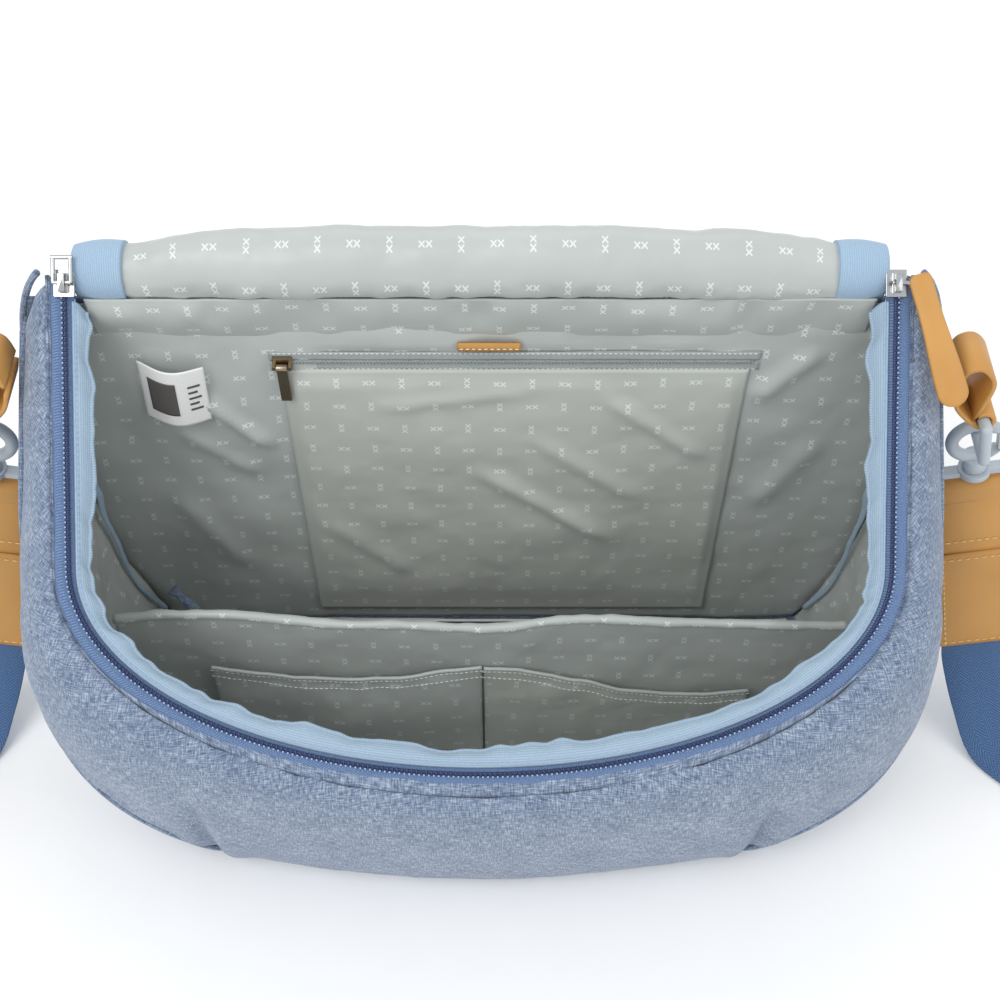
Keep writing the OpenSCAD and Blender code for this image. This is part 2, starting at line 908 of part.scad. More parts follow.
front_panel();
gusset_left();
gusset_right();
back_panel();
base_panel();
base_board();
side_pocket_left();
side_pocket_right();
wrap_lining();
back_lining();
base_lining();
mouth_binding();
body_zip_tape();
body_zip_teeth();
hinge_roll();
hinge_binding();
lid_shell();
lid_padding();
lid_lining();
lid_zip_tape();
lid_zip_teeth();
divider();
organiser_pocket_left();
organiser_pocket_right();
zip_pocket_patch();
inner_zip_tape();
inner_zip_slider();
inner_zip_pull();
leather_label();
care_label();
slider_left();
pull_ring_left();
slider_right();
leather_puller();
leather_loop_left();
leather_loop_right();
plastic_ring_left();
plastic_ring_right();
snap_hook_left();
snap_hook_right();
hook_gate_left();
hook_gate_right();
swivel_bar_left();
swivel_bar_right();
leather_tab_left();
leather_tab_right();
webbing_strap();
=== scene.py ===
# %% [markdown]
# # A soft diaper bag with its lid thrown back
# The bag is sewn from blue melange canvas over a satin lining. Its body is one wrap:
# a D-shaped outline on the floor joined to a D-shaped mouth that slopes down from the
# hinge to the front. Almost every cloth piece below is a patch of that one surface,
# so the wrap is written once and each piece asks it for points.

# %% Load the fixed frame
import math

import bpy
import numpy as np
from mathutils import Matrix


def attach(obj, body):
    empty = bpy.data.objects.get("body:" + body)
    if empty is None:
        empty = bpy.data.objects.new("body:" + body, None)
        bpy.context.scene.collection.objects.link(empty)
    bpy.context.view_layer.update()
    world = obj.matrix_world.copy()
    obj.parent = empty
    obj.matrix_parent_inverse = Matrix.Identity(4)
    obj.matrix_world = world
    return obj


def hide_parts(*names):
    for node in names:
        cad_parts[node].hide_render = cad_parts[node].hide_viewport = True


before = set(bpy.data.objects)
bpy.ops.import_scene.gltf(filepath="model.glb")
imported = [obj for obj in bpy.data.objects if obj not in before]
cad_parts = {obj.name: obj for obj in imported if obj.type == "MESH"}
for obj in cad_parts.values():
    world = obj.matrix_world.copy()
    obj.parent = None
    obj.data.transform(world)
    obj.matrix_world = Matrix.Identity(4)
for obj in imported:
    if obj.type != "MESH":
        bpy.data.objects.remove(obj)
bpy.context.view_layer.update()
MM = 0.001

# %% [markdown]
# ## Camera
# A bag is looked into from above the front, so the camera stands half a metre ahead
# of it, high up, and tips down by 52 degrees. A 52 mm lens keeps the mouth from
# spreading too much.

# %% Camera
lens_mm = 51.9
camera_at = (9.5 * MM, -431 * MM, 785 * MM)
camera_tip = 38.0
camera_data = bpy.data.cameras.new("camera")
camera_data.lens = lens_mm
camera_data.sensor_width = 36.0
camera_data.clip_start = 0.02
camera = bpy.data.objects.new("camera", camera_data)
camera.location = camera_at
camera.rotation_euler = (math.radians(camera_tip), 0.0, 0.0)
bpy.context.collection.objects.link(camera)
bpy.context.scene.camera = camera
print("camera at", camera_at)

# %% [markdown]
# ## From arrays to meshes
# A cloth piece is a grid of points. Two numpy helpers are enough: one writes points,
# faces and a UV map into a mesh, and one gives a grid a wall so that it is a closed
# solid with a real thickness. The UV map holds metres along the cloth, so a weave can
# be drawn at its true size.


# %% Mesh helpers
def put_mesh(name, points, faces, uv=None, smooth=True):
    """Makes an object from points (n, 3) in metres and a list of equal-sized faces; uv holds one pair
    per point."""
    faces = np.asarray(faces, dtype=np.int32)
    mesh = bpy.data.meshes.new(name)
    sides = faces.shape[1]
    mesh.vertices.add(len(points))
    mesh.vertices.foreach_set("co", np.ascontiguousarray(points, dtype=np.float32).ravel())
    mesh.loops.add(faces.size)
    mesh.loops.foreach_set("vertex_index", faces.ravel())
    mesh.polygons.add(len(faces))
    mesh.polygons.foreach_set("loop_start", np.arange(0, faces.size, sides, dtype=np.int32))
    mesh.polygons.foreach_set("use_smooth", np.full(len(faces), smooth))
    mesh.update(calc_edges=True)
    if uv is not None:
        layer = mesh.uv_layers.new(name="cloth")
        layer.uv.foreach_set("vector", np.ascontiguousarray(uv[faces.ravel()], dtype=np.float32).ravel())
    mesh.validate()
    piece = bpy.data.objects.new(name, mesh)
    bpy.context.collection.objects.link(piece)
    return piece


def grid_quads(rows, cols, close_rows=False, close_cols=False, start=0, flip=False):
    """Quads of a grid of rows x cols points; a closed direction joins its last line to its first."""
    i = np.arange(rows if close_rows else rows - 1)
    j = np.arange(cols if close_cols else cols - 1)
    i, j = np.meshgrid(i, j, indexing="ij")
    a = i * cols + j
    b = i * cols + (j + 1) % cols
    c = ((i + 1) % rows) * cols + (j + 1) % cols
    d = ((i + 1) % rows) * cols + j
    quads = np.stack([a, b, c, d], axis=-1).reshape(-1, 4) + start
    return quads[:, ::-1] if flip else quads


def grid_normals(points):
    """Unit normals of a grid: the cross product of the step along a row and the step up a column."""
    along = np.gradient(points, axis=1)
    up = np.gradient(points, axis=0)
    n = np.cross(along, up)
    return n / np.maximum(np.linalg.norm(n, axis=-1, keepdims=True), 1e-12)


def grid_uv(points):
    """Metres along each row from its middle, and metres up each column from its foot."""
    across = np.linalg.norm(np.diff(points, axis=1), axis=-1)
    u = np.concatenate([np.zeros((points.shape[0], 1)), np.cumsum(across, axis=1)], axis=1)
    u -= u[:, points.shape[1] // 2][:, None]
    rise = np.linalg.norm(np.diff(points, axis=0), axis=-1)
    v = np.concatenate([np.zeros((1, points.shape[1])), np.cumsum(rise, axis=0)], axis=0)
    return np.stack([u, v], axis=-1)


def cloth_sheet(name, points, wall, uv=None):
    """A closed sheet: the grid (rows, cols, 3) in mm is its outer face, the inner face lies a wall
    behind it along the normals, and a rim of quads joins the two all round."""
    rows, cols = points.shape[:2]
    inner = points - grid_normals(points) * wall
    if uv is None:
        uv = grid_uv(points * MM)
    count = rows * cols
    outer_quads = grid_quads(rows, cols)
    inner_quads = grid_quads(rows, cols, start=count, flip=True)
    ids = np.arange(count).reshape(rows, cols)
    loop = np.concatenate([ids[0, :], ids[1:, -1], ids[-1, -2::-1], ids[-2:0:-1, 0]])
    after = np.roll(loop, -1)
    rim = np.stack([after, loop, loop + count, after + count], axis=-1)
    every = np.concatenate([outer_quads, inner_quads, rim])
    both = np.concatenate([points.reshape(-1, 3), inner.reshape(-1, 3)]) * MM
    both_uv = np.concatenate([uv.reshape(-1, 2), uv.reshape(-1, 2)])
    return put_mesh(name, both, every, both_uv)


def carried_profile(name, path, profile, across, closed=False, caps=True):
    """A solid swept along a path (n, 3) in mm. The profile (m, 2) is placed at each point along two
    directions: 'across' made square to the path, and the one square to both. UV: metres round,
    metres along."""
    path = np.asarray(path, dtype=float)
    along = np.roll(path, -1, 0) - np.roll(path, 1, 0) if closed else np.gradient(path, axis=0)
    along /= np.linalg.norm(along, axis=1, keepdims=True)
    across = np.broadcast_to(np.asarray(across, dtype=float), path.shape)
    side = across - along * np.sum(across * along, axis=1, keepdims=True)
    side /= np.linalg.norm(side, axis=1, keepdims=True)
    up = np.cross(along, side)
    profile = np.asarray(profile, dtype=float)
    if profile.ndim == 2:
        profile = np.broadcast_to(profile, (len(path),) + profile.shape)
    points = (
        path[:, None, :]
        + side[:, None, :] * profile[:, :, 0:1]
        + up[:, None, :] * profile[:, :, 1:2]
    )
    rows, cols = points.shape[:2]
    quads = grid_quads(rows, cols, close_rows=closed, close_cols=True)
    run = np.concatenate([[0.0], np.cumsum(np.linalg.norm(np.diff(path, axis=0), axis=1))]) * MM
    edge = profile[0]
    girth = np.concatenate([[0.0], np.cumsum(np.linalg.norm(np.diff(edge, axis=0), axis=1))]) * MM
    uv = np.stack(np.meshgrid(run, girth, indexing="ij")[::-1], axis=-1).reshape(-1, 2)
    flat = points.reshape(-1, 3)
    if caps and not closed:
        flat = np.concatenate([flat, path[:1], path[-1:]])
        uv = np.concatenate([uv, [[girth.mean(), run[0]], [girth.mean(), run[-1]]]])
        ring = np.arange(cols)
        after = (ring + 1) % cols
        first, last = rows * cols, rows * cols + 1
        base = (rows - 1) * cols
        start_cap = np.stack([after, ring, np.full(cols, first), np.full(cols, first)], axis=-1)
        end_cap = np.stack([ring + base, after + base, np.full(cols, last), np.full(cols, last)], axis=-1)
        return tri_and_quad(name, flat * MM, quads, np.concatenate([start_cap, end_cap])[:, :3], uv)
    return put_mesh(name, flat * MM, quads, uv)


def tri_and_quad(name, points, quads, triangles, uv):
    """As put_mesh, for quads and triangles together."""
    mesh = bpy.data.meshes.new(name)
    mesh.from_pydata([tuple(p) for p in points.tolist()], [], quads.tolist() + triangles.tolist())
    mesh.polygons.foreach_set("use_smooth", np.ones(len(mesh.polygons), dtype=bool))
    index = np.empty(len(mesh.loops), dtype=np.int32)
    mesh.loops.foreach_get("vertex_index", index)
    layer = mesh.uv_layers.new(name="cloth")
    layer.uv.foreach_set("vector", np.ascontiguousarray(uv[index], dtype=np.float32).ravel())
    mesh.update(calc_edges=True)
    piece = bpy.data.objects.new(name, mesh)
    bpy.context.collection.objects.link(piece)
    return piece


def round_profile(radius, sides=12, squash=1.0):
    """A circle as (sides, 2) points, flattened by squash."""
    a = np.linspace(0, 2 * math.pi, sides, endpoint=False)
    return np.stack([radius * np.cos(a), radius * squash * np.sin(a)], axis=-1)


def rail_curve(knots, per_span=8):
    """A smooth curve through given points: each span is the cubic that leaves and arrives
    parallel to its neighbours' chords."""
    k = np.asarray(knots, dtype=float)
    k = np.concatenate([k[:1], k, k[-1:]])
    s = np.linspace(0, 1, per_span, endpoint=False)[None, :, None]
    p0, p1, p2, p3 = (k[i:len(k) - 3 + i, None, :] for i in range(4))
    c = 0.5 * (
        2 * p1 + (p2 - p0) * s + (2 * p0 - 5 * p1 + 4 * p2 - p3) * s**2 + (3 * p1 - p0 - 3 * p2 + p3) * s**3
    )
    return np.concatenate([c.reshape(-1, k.shape[1]), k[-1:]])


def ease(k):
    k = np.clip(k, 0.0, 1.0)
    return k * k * (3 - 2 * k)


def blob(x, y, seed=0):
    """Smooth value noise from -1 to 1: random numbers on a whole-number lattice, joined by eased steps
    in both directions."""
    xi, yi = np.floor(x).astype(np.int64), np.floor(y).astype(np.int64)
    fx, fy = ease(x - xi), ease(y - yi)

    def corner(i, j):
        h = (i * 374761393 + j * 668265263 + seed * 974634777) & 0xFFFFFFFF
        h = ((h ^ (h >> 13)) * 1274126177) & 0xFFFFFFFF
        return ((h ^ (h >> 16)) & 0xFFFF) / 32767.5 - 1.0

    low = corner(xi, yi) * (1 - fx) + corner(xi + 1, yi) * fx
    high = corner(xi, yi + 1) * (1 - fx) + corner(xi + 1, yi + 1) * fx
    return low * (1 - fy) + high * fy


def crumple(x, y, size, seed=0, turns=3):
    """Cloth unevenness: noise at a size in mm plus two or three finer, weaker layers, each turned a
    little."""
    total = 0.0
    for n in range(turns):
        a = 0.6 + 1.3 * n
        xr = x * math.cos(a) + y * math.sin(a)
        yr = -x * math.sin(a) + y * math.cos(a)
        total = total + blob(xr / size * 2**n, yr / size * 2**n, seed + 17 * n) / 2**n
    return total / 1.6


print("helpers ready")

# %% [markdown]
# ## The webbing strap
# A free strap has a fixed length, so its route is settled before any look. It leaves
# the right leather tab, drops to the floor, folds round beside the bag, runs behind it
# and climbs to the left tab. It is flat webbing, so a rounded rectangle is carried
# along the route, turned by a direction given at each point.

# %% Strap route
lean_out, lean_fwd = math.radians(12), math.radians(15)
ring_at = np.array([252.0, 57.0, 240.0])
ring_drop = 24.0
hook_inner, hook_rod = 9.0, 3.4
bow = hook_inner + hook_rod
bow_z = 3.35 - hook_inner
barrel_low = bow_z - bow - 9
tab_z = barrel_low - 14.3
tab_len, tab_w = 116.0, 42.0
web_w, web_t = 38.0, 1.8


def chain_frame(local, side=1):
    """Points (n, 3) in the hanging frame of a hook, whose origin is the ring's lower bar, moved to the
    bag's frame: dropped by the ring, tipped outward, set at the ring."""
    p = np.atleast_2d(np.asarray(local, dtype=float))
    x, y, z = p[:, 0], p[:, 1], p[:, 2] - ring_drop
    wx = x * math.cos(lean_out) - z * math.sin(lean_out)
    wz = x * math.sin(lean_out) + z * math.cos(lean_out)
    return np.stack([side * (ring_at[0] + wx), ring_at[1] + y, ring_at[2] + wz], axis=-1)


def tab_frame(local, side=1):
    """Points in the frame of a leather tab, whose origin is the swivel bar, tipped forward and then
    hung as the hook is."""
    p = np.atleast_2d(np.asarray(local, dtype=float))
    y = p[:, 1] * math.cos(lean_fwd) + p[:, 2] * math.sin(lean_fwd)
    z = -p[:, 1] * math.sin(lean_fwd) + p[:, 2] * math.cos(lean_fwd) + tab_z
    return chain_frame(np.stack([p[:, 0], y, z], axis=-1), side)


side_dir = [math.cos(lean_out), 0.0, math.sin(lean_out)]
strap_knots = [[*tab_frame([0, 0, -d])[0], *side_dir] for d in (tab_len - 26, tab_len, tab_len + 16)]
strap_knots += [
    [301, 8, 26, 1, 0.1, 0.1],
    [312, -10, 4, 1, 0.4, 0],
    [334, -28, web_t, 0.7, 1, 0],
    [362, -26, web_t, -0.5, 1, 0],
    [377, 2, web_t, -1, 0.2, 0],
    [366, 40, web_t, -1, -0.4, 0],
    [336, 82, web_t, -1, -0.7, 0],
    [286, 120, web_t, -0.6, -1, 0],
    [210, 146, web_t, -0.3, -1, 0],
    [100, 156, web_t, 0, -1, 0],
]
strap_knots += [[-x, y, z, -a, b, c] for x, y, z, a, b, c in strap_knots[::-1]]
strap_line = rail_curve(strap_knots, per_span=6)
strap_path, strap_side = strap_line[:, :3], strap_line[:, 3:]
half_w, half_t = web_w / 2, web_t / 2
strap_profile = np.array([
    [half_w, -half_t * 0.4], [half_w, half_t * 0.4], [half_w - 0.8, half_t], [half_w / 3, half_t],
    [-half_w / 3, half_t],
    [-half_w + 0.8, half_t], [-half_w, half_t * 0.4], [-half_w, -half_t * 0.4], [-half_w + 0.8, -half_t],
    [-half_w / 3, -half_t], [half_w / 3, -half_t], [half_w - 0.8, -half_t],
])
webbing = carried_profile("webbing", strap_path, strap_profile, strap_side)
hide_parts("webbing_strap")
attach(webbing, "bag")

# %% [markdown]
# ## Light and floor
# Studio light for soft goods: one wide soft source above and ahead, a weaker one from
# each side, and a pale floor that gives the contact shadow.

# %% Light and floor
world = bpy.data.worlds.new("studio")
bpy.context.scene.world = world
world.use_nodes = True
world.node_tree.nodes["Background"].inputs["Color"].default_value = (0.95, 0.97, 1.0, 1.0)
world.node_tree.nodes["Background"].inputs["Strength"].default_value = 0.86
lights = [
    ("key", (-0.9, -0.9, 1.9), 1.2, 19.0),
    ("fill", (1.4, -0.5, 1.3), 1.2, 6.0),
    ("back", (0.1, 1.5, 1.6), 1.2, 6.0),
]
for label, place, width, power in lights:
    lamp = bpy.data.lights.new(label, "AREA")
    lamp.shape = "SQUARE"
    lamp.size = width
    lamp.energy = power
    holder = bpy.data.objects.new(label, lamp)
    holder.location = place
    away = np.array(place) - np.array([0.0, 0.0, 0.15])
    away /= np.linalg.norm(away)
    holder.rotation_euler = (math.acos(away[2]), 0.0, math.atan2(away[1], away[0]) + math.pi / 2)
    bpy.context.collection.objects.link(holder)
bpy.context.scene.view_settings.view_transform = "Standard"
floor_half = 3.0
floor = put_mesh(
    "floor",
    np.array(
        [
            [-floor_half, -floor_half, 0], [floor_half, -floor_half, 0], [floor_half, floor_half, 0],
            [-floor_half, floor_half, 0],
        ]
    ),
    [[0, 1, 2, 3]],
)
print("lights:", len(lights))

# %% [markdown]
# ## Materials
# Each finish starts from what the real one is. Colours are written as the sRGB hex a
# designer would name and turned linear by one function. One helper adds a node with
# its settings and links, and each material below is a short list of such calls.


# %% Material helpers
def hex_colour(code):
    """An sRGB hex colour as linear RGBA: below 0.04045 divided by 12.92, above it shifted and raised
    to 2.4."""
    c = np.array([int(code[i:i + 2], 16) for i in (1, 3, 5)]) / 255.0
    c = np.where(c <= 0.04045, c / 12.92, ((c + 0.055) / 1.055) ** 2.4)
    return (*c.tolist(), 1.0)


def add(tree, kind, inputs=None, **settings):
    """Adds a node; settings are its properties, and each input is a value or another node's output."""
    node = tree.nodes.new(kind)
    for key, value in settings.items():
        setattr(node, key, value)
    for key, value in (inputs or {}).items():
        if isinstance(value, bpy.types.NodeSocket):
            tree.links.new(value, node.inputs[key])
        else:
            node.inputs[key].default_value = value
    return node


def new_finish(name, inputs):
    """An empty material whose one shader has the given constants; returns material, tree, shader."""
    finish = bpy.data.materials.new(name)
    finish.use_nodes = True
    tree = finish.node_tree
    tree.nodes.clear()
    shader = add(tree, "ShaderNodeBsdfPrincipled", inputs)
    out = add(tree, "ShaderNodeOutputMaterial")
    tree.links.new(shader.outputs[0], out.inputs[0])
    return finish, tree, shader


def two_tone(tree, factor, low, high):
    """A colour that goes from low to high as the factor goes from 0 to 1; each end is a colour or a
    node's output."""
    mix = add(tree, "ShaderNodeMix", data_type="RGBA")
    tree.links.new(factor, mix.inputs[0])
    for end, shade in ((6, low), (7, high)):
        if isinstance(shade, str):
            mix.inputs[end].default_value = hex_colour(shade)
        else:
            tree.links.new(shade, mix.inputs[end])
    return mix.outputs[2]


def wear(piece, finish):
    piece.data.materials.clear()
    piece.data.materials.append(finish)


def finished(piece, body, slot, finish, *nodes):
    """Puts a made piece on its body, gives it its finish, and hides the CAD nodes it stands for. The slot
    argument is not used.
    """
    for node in nodes:
        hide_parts(node)
    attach(piece, body)
    wear(piece, finish)
    return piece


# %% [markdown]
# ### Melange canvas
# Melange cloth is woven from threads spun of dark and light fibres, so each thread
# changes shade along its length. Two noises are stretched, one along the warp and one
# along the weft, and a slower one makes the cloth uneven. The threads are 0.5 mm in
# the cloth; they are drawn 0.75 mm wide, because finer ones vanish at arm's length.

# %% Melange canvas
thread_w, slub_len = 0.75 * MM, 5.5 * MM


def melange_canvas(name, dark, middle, light):
    finish, tree, shader = new_finish(
        name, {"Roughness": 0.9, "Sheen Weight": 0.25, "Sheen Roughness": 0.5, "IOR": 1.45},
    )
    uv = add(tree, "ShaderNodeUVMap", uv_map="cloth").outputs[0]
    streaks = []
    for scale in ((1 / thread_w, 1 / slub_len, 1.0), (1 / slub_len, 1 / thread_w, 1.0)):
        place = add(tree, "ShaderNodeMapping", {"Vector": uv, "Scale": scale}).outputs[0]
        streaks.append(
            add(
                tree, "ShaderNodeTexNoise", {"Vector": place, "Scale": 1.0, "Detail": 2.0, "Roughness": 0.6},
            ).outputs[0]
        )
    both = add(tree, "ShaderNodeMath", {0: streaks[0], 1: streaks[1]}, operation="ADD").outputs[0]
    cloud = add(tree, "ShaderNodeTexNoise", {"Vector": uv, "Scale": 45.0, "Detail": 2.0}).outputs[0]
    cloud = add(tree, "ShaderNodeMath", {0: cloud, 1: 0.25}, operation="MULTIPLY").outputs[0]
    shade = add(tree, "ShaderNodeMath", {0: both, 1: cloud}, operation="ADD").outputs[0]
    ramp = add(
        tree, "ShaderNodeValToRGB",
        {
            "Fac": add(
                tree, "ShaderNodeMapRange", {"Value": shade, "From Min": 0.82, "From Max": 1.42},
            ).outputs[0]
        },
    )
    ramp.color_ramp.elements[0].color = hex_colour(dark)
    ramp.color_ramp.elements[1].color = hex_colour(light)
    centre = ramp.color_ramp.elements.new(0.5)
    centre.color = hex_colour(middle)
    tree.links.new(ramp.outputs[0], shader.inputs["Base Color"])
    weave = []
    for axis in ("X", "Y"):
        weave.append(
            add(
                tree, "ShaderNodeTexWave",
                {
                    "Vector": uv, "Scale": 0.314 / thread_w, "Distortion": 0.6, "Detail": 1.0,
                    "Detail Scale": 2.0,
                },
                bands_direction=axis,
            ).outputs[1]
        )
    height = add(tree, "ShaderNodeMath", {0: weave[0], 1: weave[1]}, operation="MAXIMUM").outputs[0]
    height = add(tree, "ShaderNodeMath", {0: height, 1: both}, operation="ADD").outputs[0]
    bump = add(tree, "ShaderNodeBump", {"Height": height, "Strength": 0.35, "Distance": 0.35 * MM})
    tree.links.new(bump.outputs[0], shader.inputs["Normal"])
    return finish


melange = melange_canvas("melange_canvas", "#46546d", "#73839b", "#b0bac7")
# A second, slightly darker copy of the same canvas for the gussets, side pockets, rear, base, front seam
# ridges and the corner bunch: painted shade on pieces turned away from the light.
melange_painted_shade = melange_canvas("melange_canvas_side", "#46556f", "#6f8099", "#a8b3c2")
print("melange canvas ready")

# %% [markdown]
# ### Satin lining with a small woven motif
# The lining is a filament satin: smooth, a little shiny along its folds, and printed
# on a checker grid of 17 mm with pairs of small off-white crosses that lie down and
# stand up in turn. The motif is plain arithmetic on the cloth's own metres: each cell
# is centred, one axis is folded so that one cross becomes two, and a cross is where
# the two distances from the centre are nearly equal.

# %% Satin lining
motif_pitch, cross_gap, cross_r, stroke = 17 * MM, 1.75 * MM, 1.5 * MM, 0.5 * MM
motif_strength, motif_shade = 0.62, "#e8efec"


def satin_lining(name, base, deep):
    finish, tree, shader = new_finish(
        name, {"Roughness": 0.42, "Sheen Weight": 0.3, "Sheen Roughness": 0.35, "IOR": 1.5},
    )
    uv = add(tree, "ShaderNodeUVMap", uv_map="cloth").outputs[0]
    split = add(tree, "ShaderNodeSeparateXYZ", {0: uv})

    def step(kind, a, b=0.0):
        return add(tree, "ShaderNodeMath", {0: a, 1: b}, operation=kind).outputs[0]

    cell_u, cell_v = (step("DIVIDE", split.outputs[k], motif_pitch) for k in (0, 1))
    row = step("ADD", step("FLOOR", cell_u), step("FLOOR", cell_v))
    stands = step("GREATER_THAN", step("MODULO", step("ADD", row, 2000.0), 2.0), 0.5)
    du, dv = (
        step("MULTIPLY", step("SUBTRACT", step("FRACT", c), 0.5), motif_pitch) for c in (cell_u, cell_v)
    )
    swap = step("SUBTRACT", 1.0, stands)
    a = step("ADD", step("MULTIPLY", du, stands), step("MULTIPLY", dv, swap))
    b = step("ADD", step("MULTIPLY", dv, stands), step("MULTIPLY", du, swap))
    a = step("ABSOLUTE", step("SUBTRACT", step("ABSOLUTE", a), cross_gap))
    b = step("ABSOLUTE", b)
    on_stroke = step("LESS_THAN", step("ABSOLUTE", step("SUBTRACT", a, b)), stroke)
    inside = step("LESS_THAN", step("MAXIMUM", a, b), cross_r)
    motif = step("MULTIPLY", on_stroke, inside)
    cloud = add(tree, "ShaderNodeTexNoise", {"Vector": uv, "Scale": 14.0, "Detail": 2.0}).outputs[0]
    ground = two_tone(tree, cloud, deep, base)
    printed = two_tone(tree, step("MULTIPLY", motif, motif_strength), ground, motif_shade)
    tree.links.new(printed, shader.inputs["Base Color"])
    fine = add(
        tree, "ShaderNodeMapping", {"Vector": uv, "Scale": (1 / (0.5 * MM), 1 / (4 * MM), 1.0)},
    ).outputs[0]
    grain = add(tree, "ShaderNodeTexNoise", {"Vector": fine, "Scale": 1.0, "Detail": 1.0}).outputs[0]
    bump = add(tree, "ShaderNodeBump", {"Height": grain, "Strength": 0.12, "Distance": 0.2 * MM})
    tree.links.new(bump.outputs[0], shader.inputs["Normal"])
    return finish


satin = satin_lining("satin_lining", "#bcc1be", "#a8ada8")
# A lighter, slightly warmer copy of the same lining for the zip pocket patch and the right slip pocket:
# painted light on pieces that stand in more light than the lining round them.
satin_painted_light = satin_lining("satin_lining_painted_light", "#c2c5bf", "#afb2aa")
print("satin lining ready")

# %% [markdown]
# ### Ribbed and twilled tapes
# Binding, zip tape and webbing are narrow woven goods. Each gets ribs or a zigzag at
# its own pitch from a wave along the piece; the crests are painted a little lighter, a painted highlight on
# the raised ribs beside their bump.

# %% Narrow woven goods


def woven_tape(name, dark, light, pitch, direction="Y", zigzag=0.0, roughness=0.75, relief=0.3):
    """Ribs 'pitch' apart along the given axis; zigzag folds the other axis so that the ribs turn back
    every zigzag metres."""
    finish, tree, shader = new_finish(
        name, {"Roughness": roughness, "Sheen Weight": 0.2, "Sheen Roughness": 0.4, "IOR": 1.48},
    )
    uv = add(tree, "ShaderNodeUVMap", uv_map="cloth").outputs[0]
    split = add(tree, "ShaderNodeSeparateXYZ", {0: uv})
    run, cross = (
        split.outputs[1], split.outputs[0],
    ) if direction == "Y" else (split.outputs[0], split.outputs[1])
    phase = add(tree, "ShaderNodeMath", {0: run, 1: 1.0 / pitch}, operation="MULTIPLY").outputs[0]
    if zigzag:
        fold = add(tree, "ShaderNodeMath", {0: cross, 1: zigzag}, operation="PINGPONG").outputs[0]
        fold = add(tree, "ShaderNodeMath", {0: fold, 1: 1.2 / pitch}, operation="MULTIPLY").outputs[0]
        phase = add(tree, "ShaderNodeMath", {0: phase, 1: fold}, operation="ADD").outputs[0]
    rib = add(tree, "ShaderNodeMath", {0: phase, 1: 0.5}, operation="PINGPONG").outputs[0]
    rib = add(tree, "ShaderNodeMath", {0: rib, 1: 2.0}, operation="MULTIPLY").outputs[0]
    fray = add(tree, "ShaderNodeTexNoise", {"Vector": uv, "Scale": 900.0, "Detail": 2.0}).outputs[0]
    # Colour follows the weave's ribs and zigzag; the lighter crests are a painted highlight on the raised
    # ribs, and the fray noise adds fine speckle.
    tone = add(tree, "ShaderNodeMath", {0: rib, 1: fray}, operation="MULTIPLY").outputs[0]
    tone = add(tree, "ShaderNodeMapRange", {"Value": tone, "From Min": 0.05, "From Max": 0.6}).outputs[0]
    tree.links.new(two_tone(tree, tone, dark, light), shader.inputs["Base Color"])
    bump = add(tree, "ShaderNodeBump", {"Height": rib, "Strength": relief, "Distance": 0.3 * MM})
    tree.links.new(bump.outputs[0], shader.inputs["Normal"])
    return finish


binding_cloth = woven_tape("binding_ribbon", "#8ba2b6", "#a9bccb", 1.3 * MM, relief=0.25)
zip_cloth = woven_tape("zip_herringbone", "#47608a", "#7b93b3", 1.4 * MM, direction="X", zigzag=3 * MM)
grey_zip_cloth = woven_tape("grey_zip_tape", "#8f9795", "#b4bab8", 1.4 * MM, direction="X", zigzag=3 * MM)
strap_cloth = woven_tape(
    "webbing_twill", "#33507a", "#587aa2", 2.2 * MM, direction="Y", zigzag=6 * MM, relief=0.6,
)
ribbon_rib = woven_tape("ribbed_hinge_ribbon", "#8ea8c0", "#a3bacd", 1.1 * MM, direction="Y", relief=0.15)
care_cloth = woven_tape("care_label_cloth", "#e9e9e6", "#f8f8f6", 0.8 * MM, relief=0.1)
wear(webbing, strap_cloth)

# %% [markdown]
# ### Leather, plastics and metals
# The leather is smooth tan veg-tanned hide with a fine grain. The hooks are moulded
# acetal. The coil is nylon, and the sliders are nickel-plated zinc.

# %% Plain finishes


def grained(name, dark, light, grain_mm, inputs, relief=0.15, cloud=30.0):
    """A finish whose colour drifts slowly between two shades and whose surface carries a grain of the
    given size."""
    finish, tree, shader = new_finish(name, inputs)
    place = add(tree, "ShaderNodeTexCoord").outputs["Object"]
    drift = add(tree, "ShaderNodeTexNoise", {"Vector": place, "Scale": cloud, "Detail": 3.0}).outputs[0]
    tree.links.new(two_tone(tree, drift, dark, light), shader.inputs["Base Color"])
    grain = add(
        tree, "ShaderNodeTexVoronoi", {"Vector": place, "Scale": 1.0 / (grain_mm * MM)}, feature="SMOOTH_F1",
    ).outputs[0]
    bump = add(tree, "ShaderNodeBump", {"Height": grain, "Strength": relief, "Distance": 0.15 * MM})
    tree.links.new(bump.outputs[0], shader.inputs["Normal"])
    return finish


leather = grained(
    "smooth_tan_leather", "#b5803c", "#cb964c", 0.7,
    {"Roughness": 0.5, "IOR": 1.5, "Coat Weight": 0.15, "Coat Roughness": 0.4},
)
leather_edge = grained("painted_leather_edge", "#96642b", "#ab7636", 0.5, {"Roughness": 0.6, "IOR": 1.5})
grey_acetal = grained(
    "moulded_grey_acetal", "#a9b2b8", "#b8c0c5", 0.4, {"Roughness": 0.42, "IOR": 1.48}, relief=0.04,
)
coil_nylon = grained(
    "navy_nylon_coil", "#16244a", "#263a68", 0.4, {"Roughness": 0.28, "IOR": 1.53}, relief=0.03,
)
grey_nylon = grained(
    "grey_nylon_coil", "#8c9492", "#a9b0ae", 0.4, {"Roughness": 0.35, "IOR": 1.53}, relief=0.03,
)
nickel = grained(
    "nickel_plate", "#a9abad", "#c4c4c2", 0.5, {"Roughness": 0.25, "Metallic": 1.0}, relief=0.03,
)
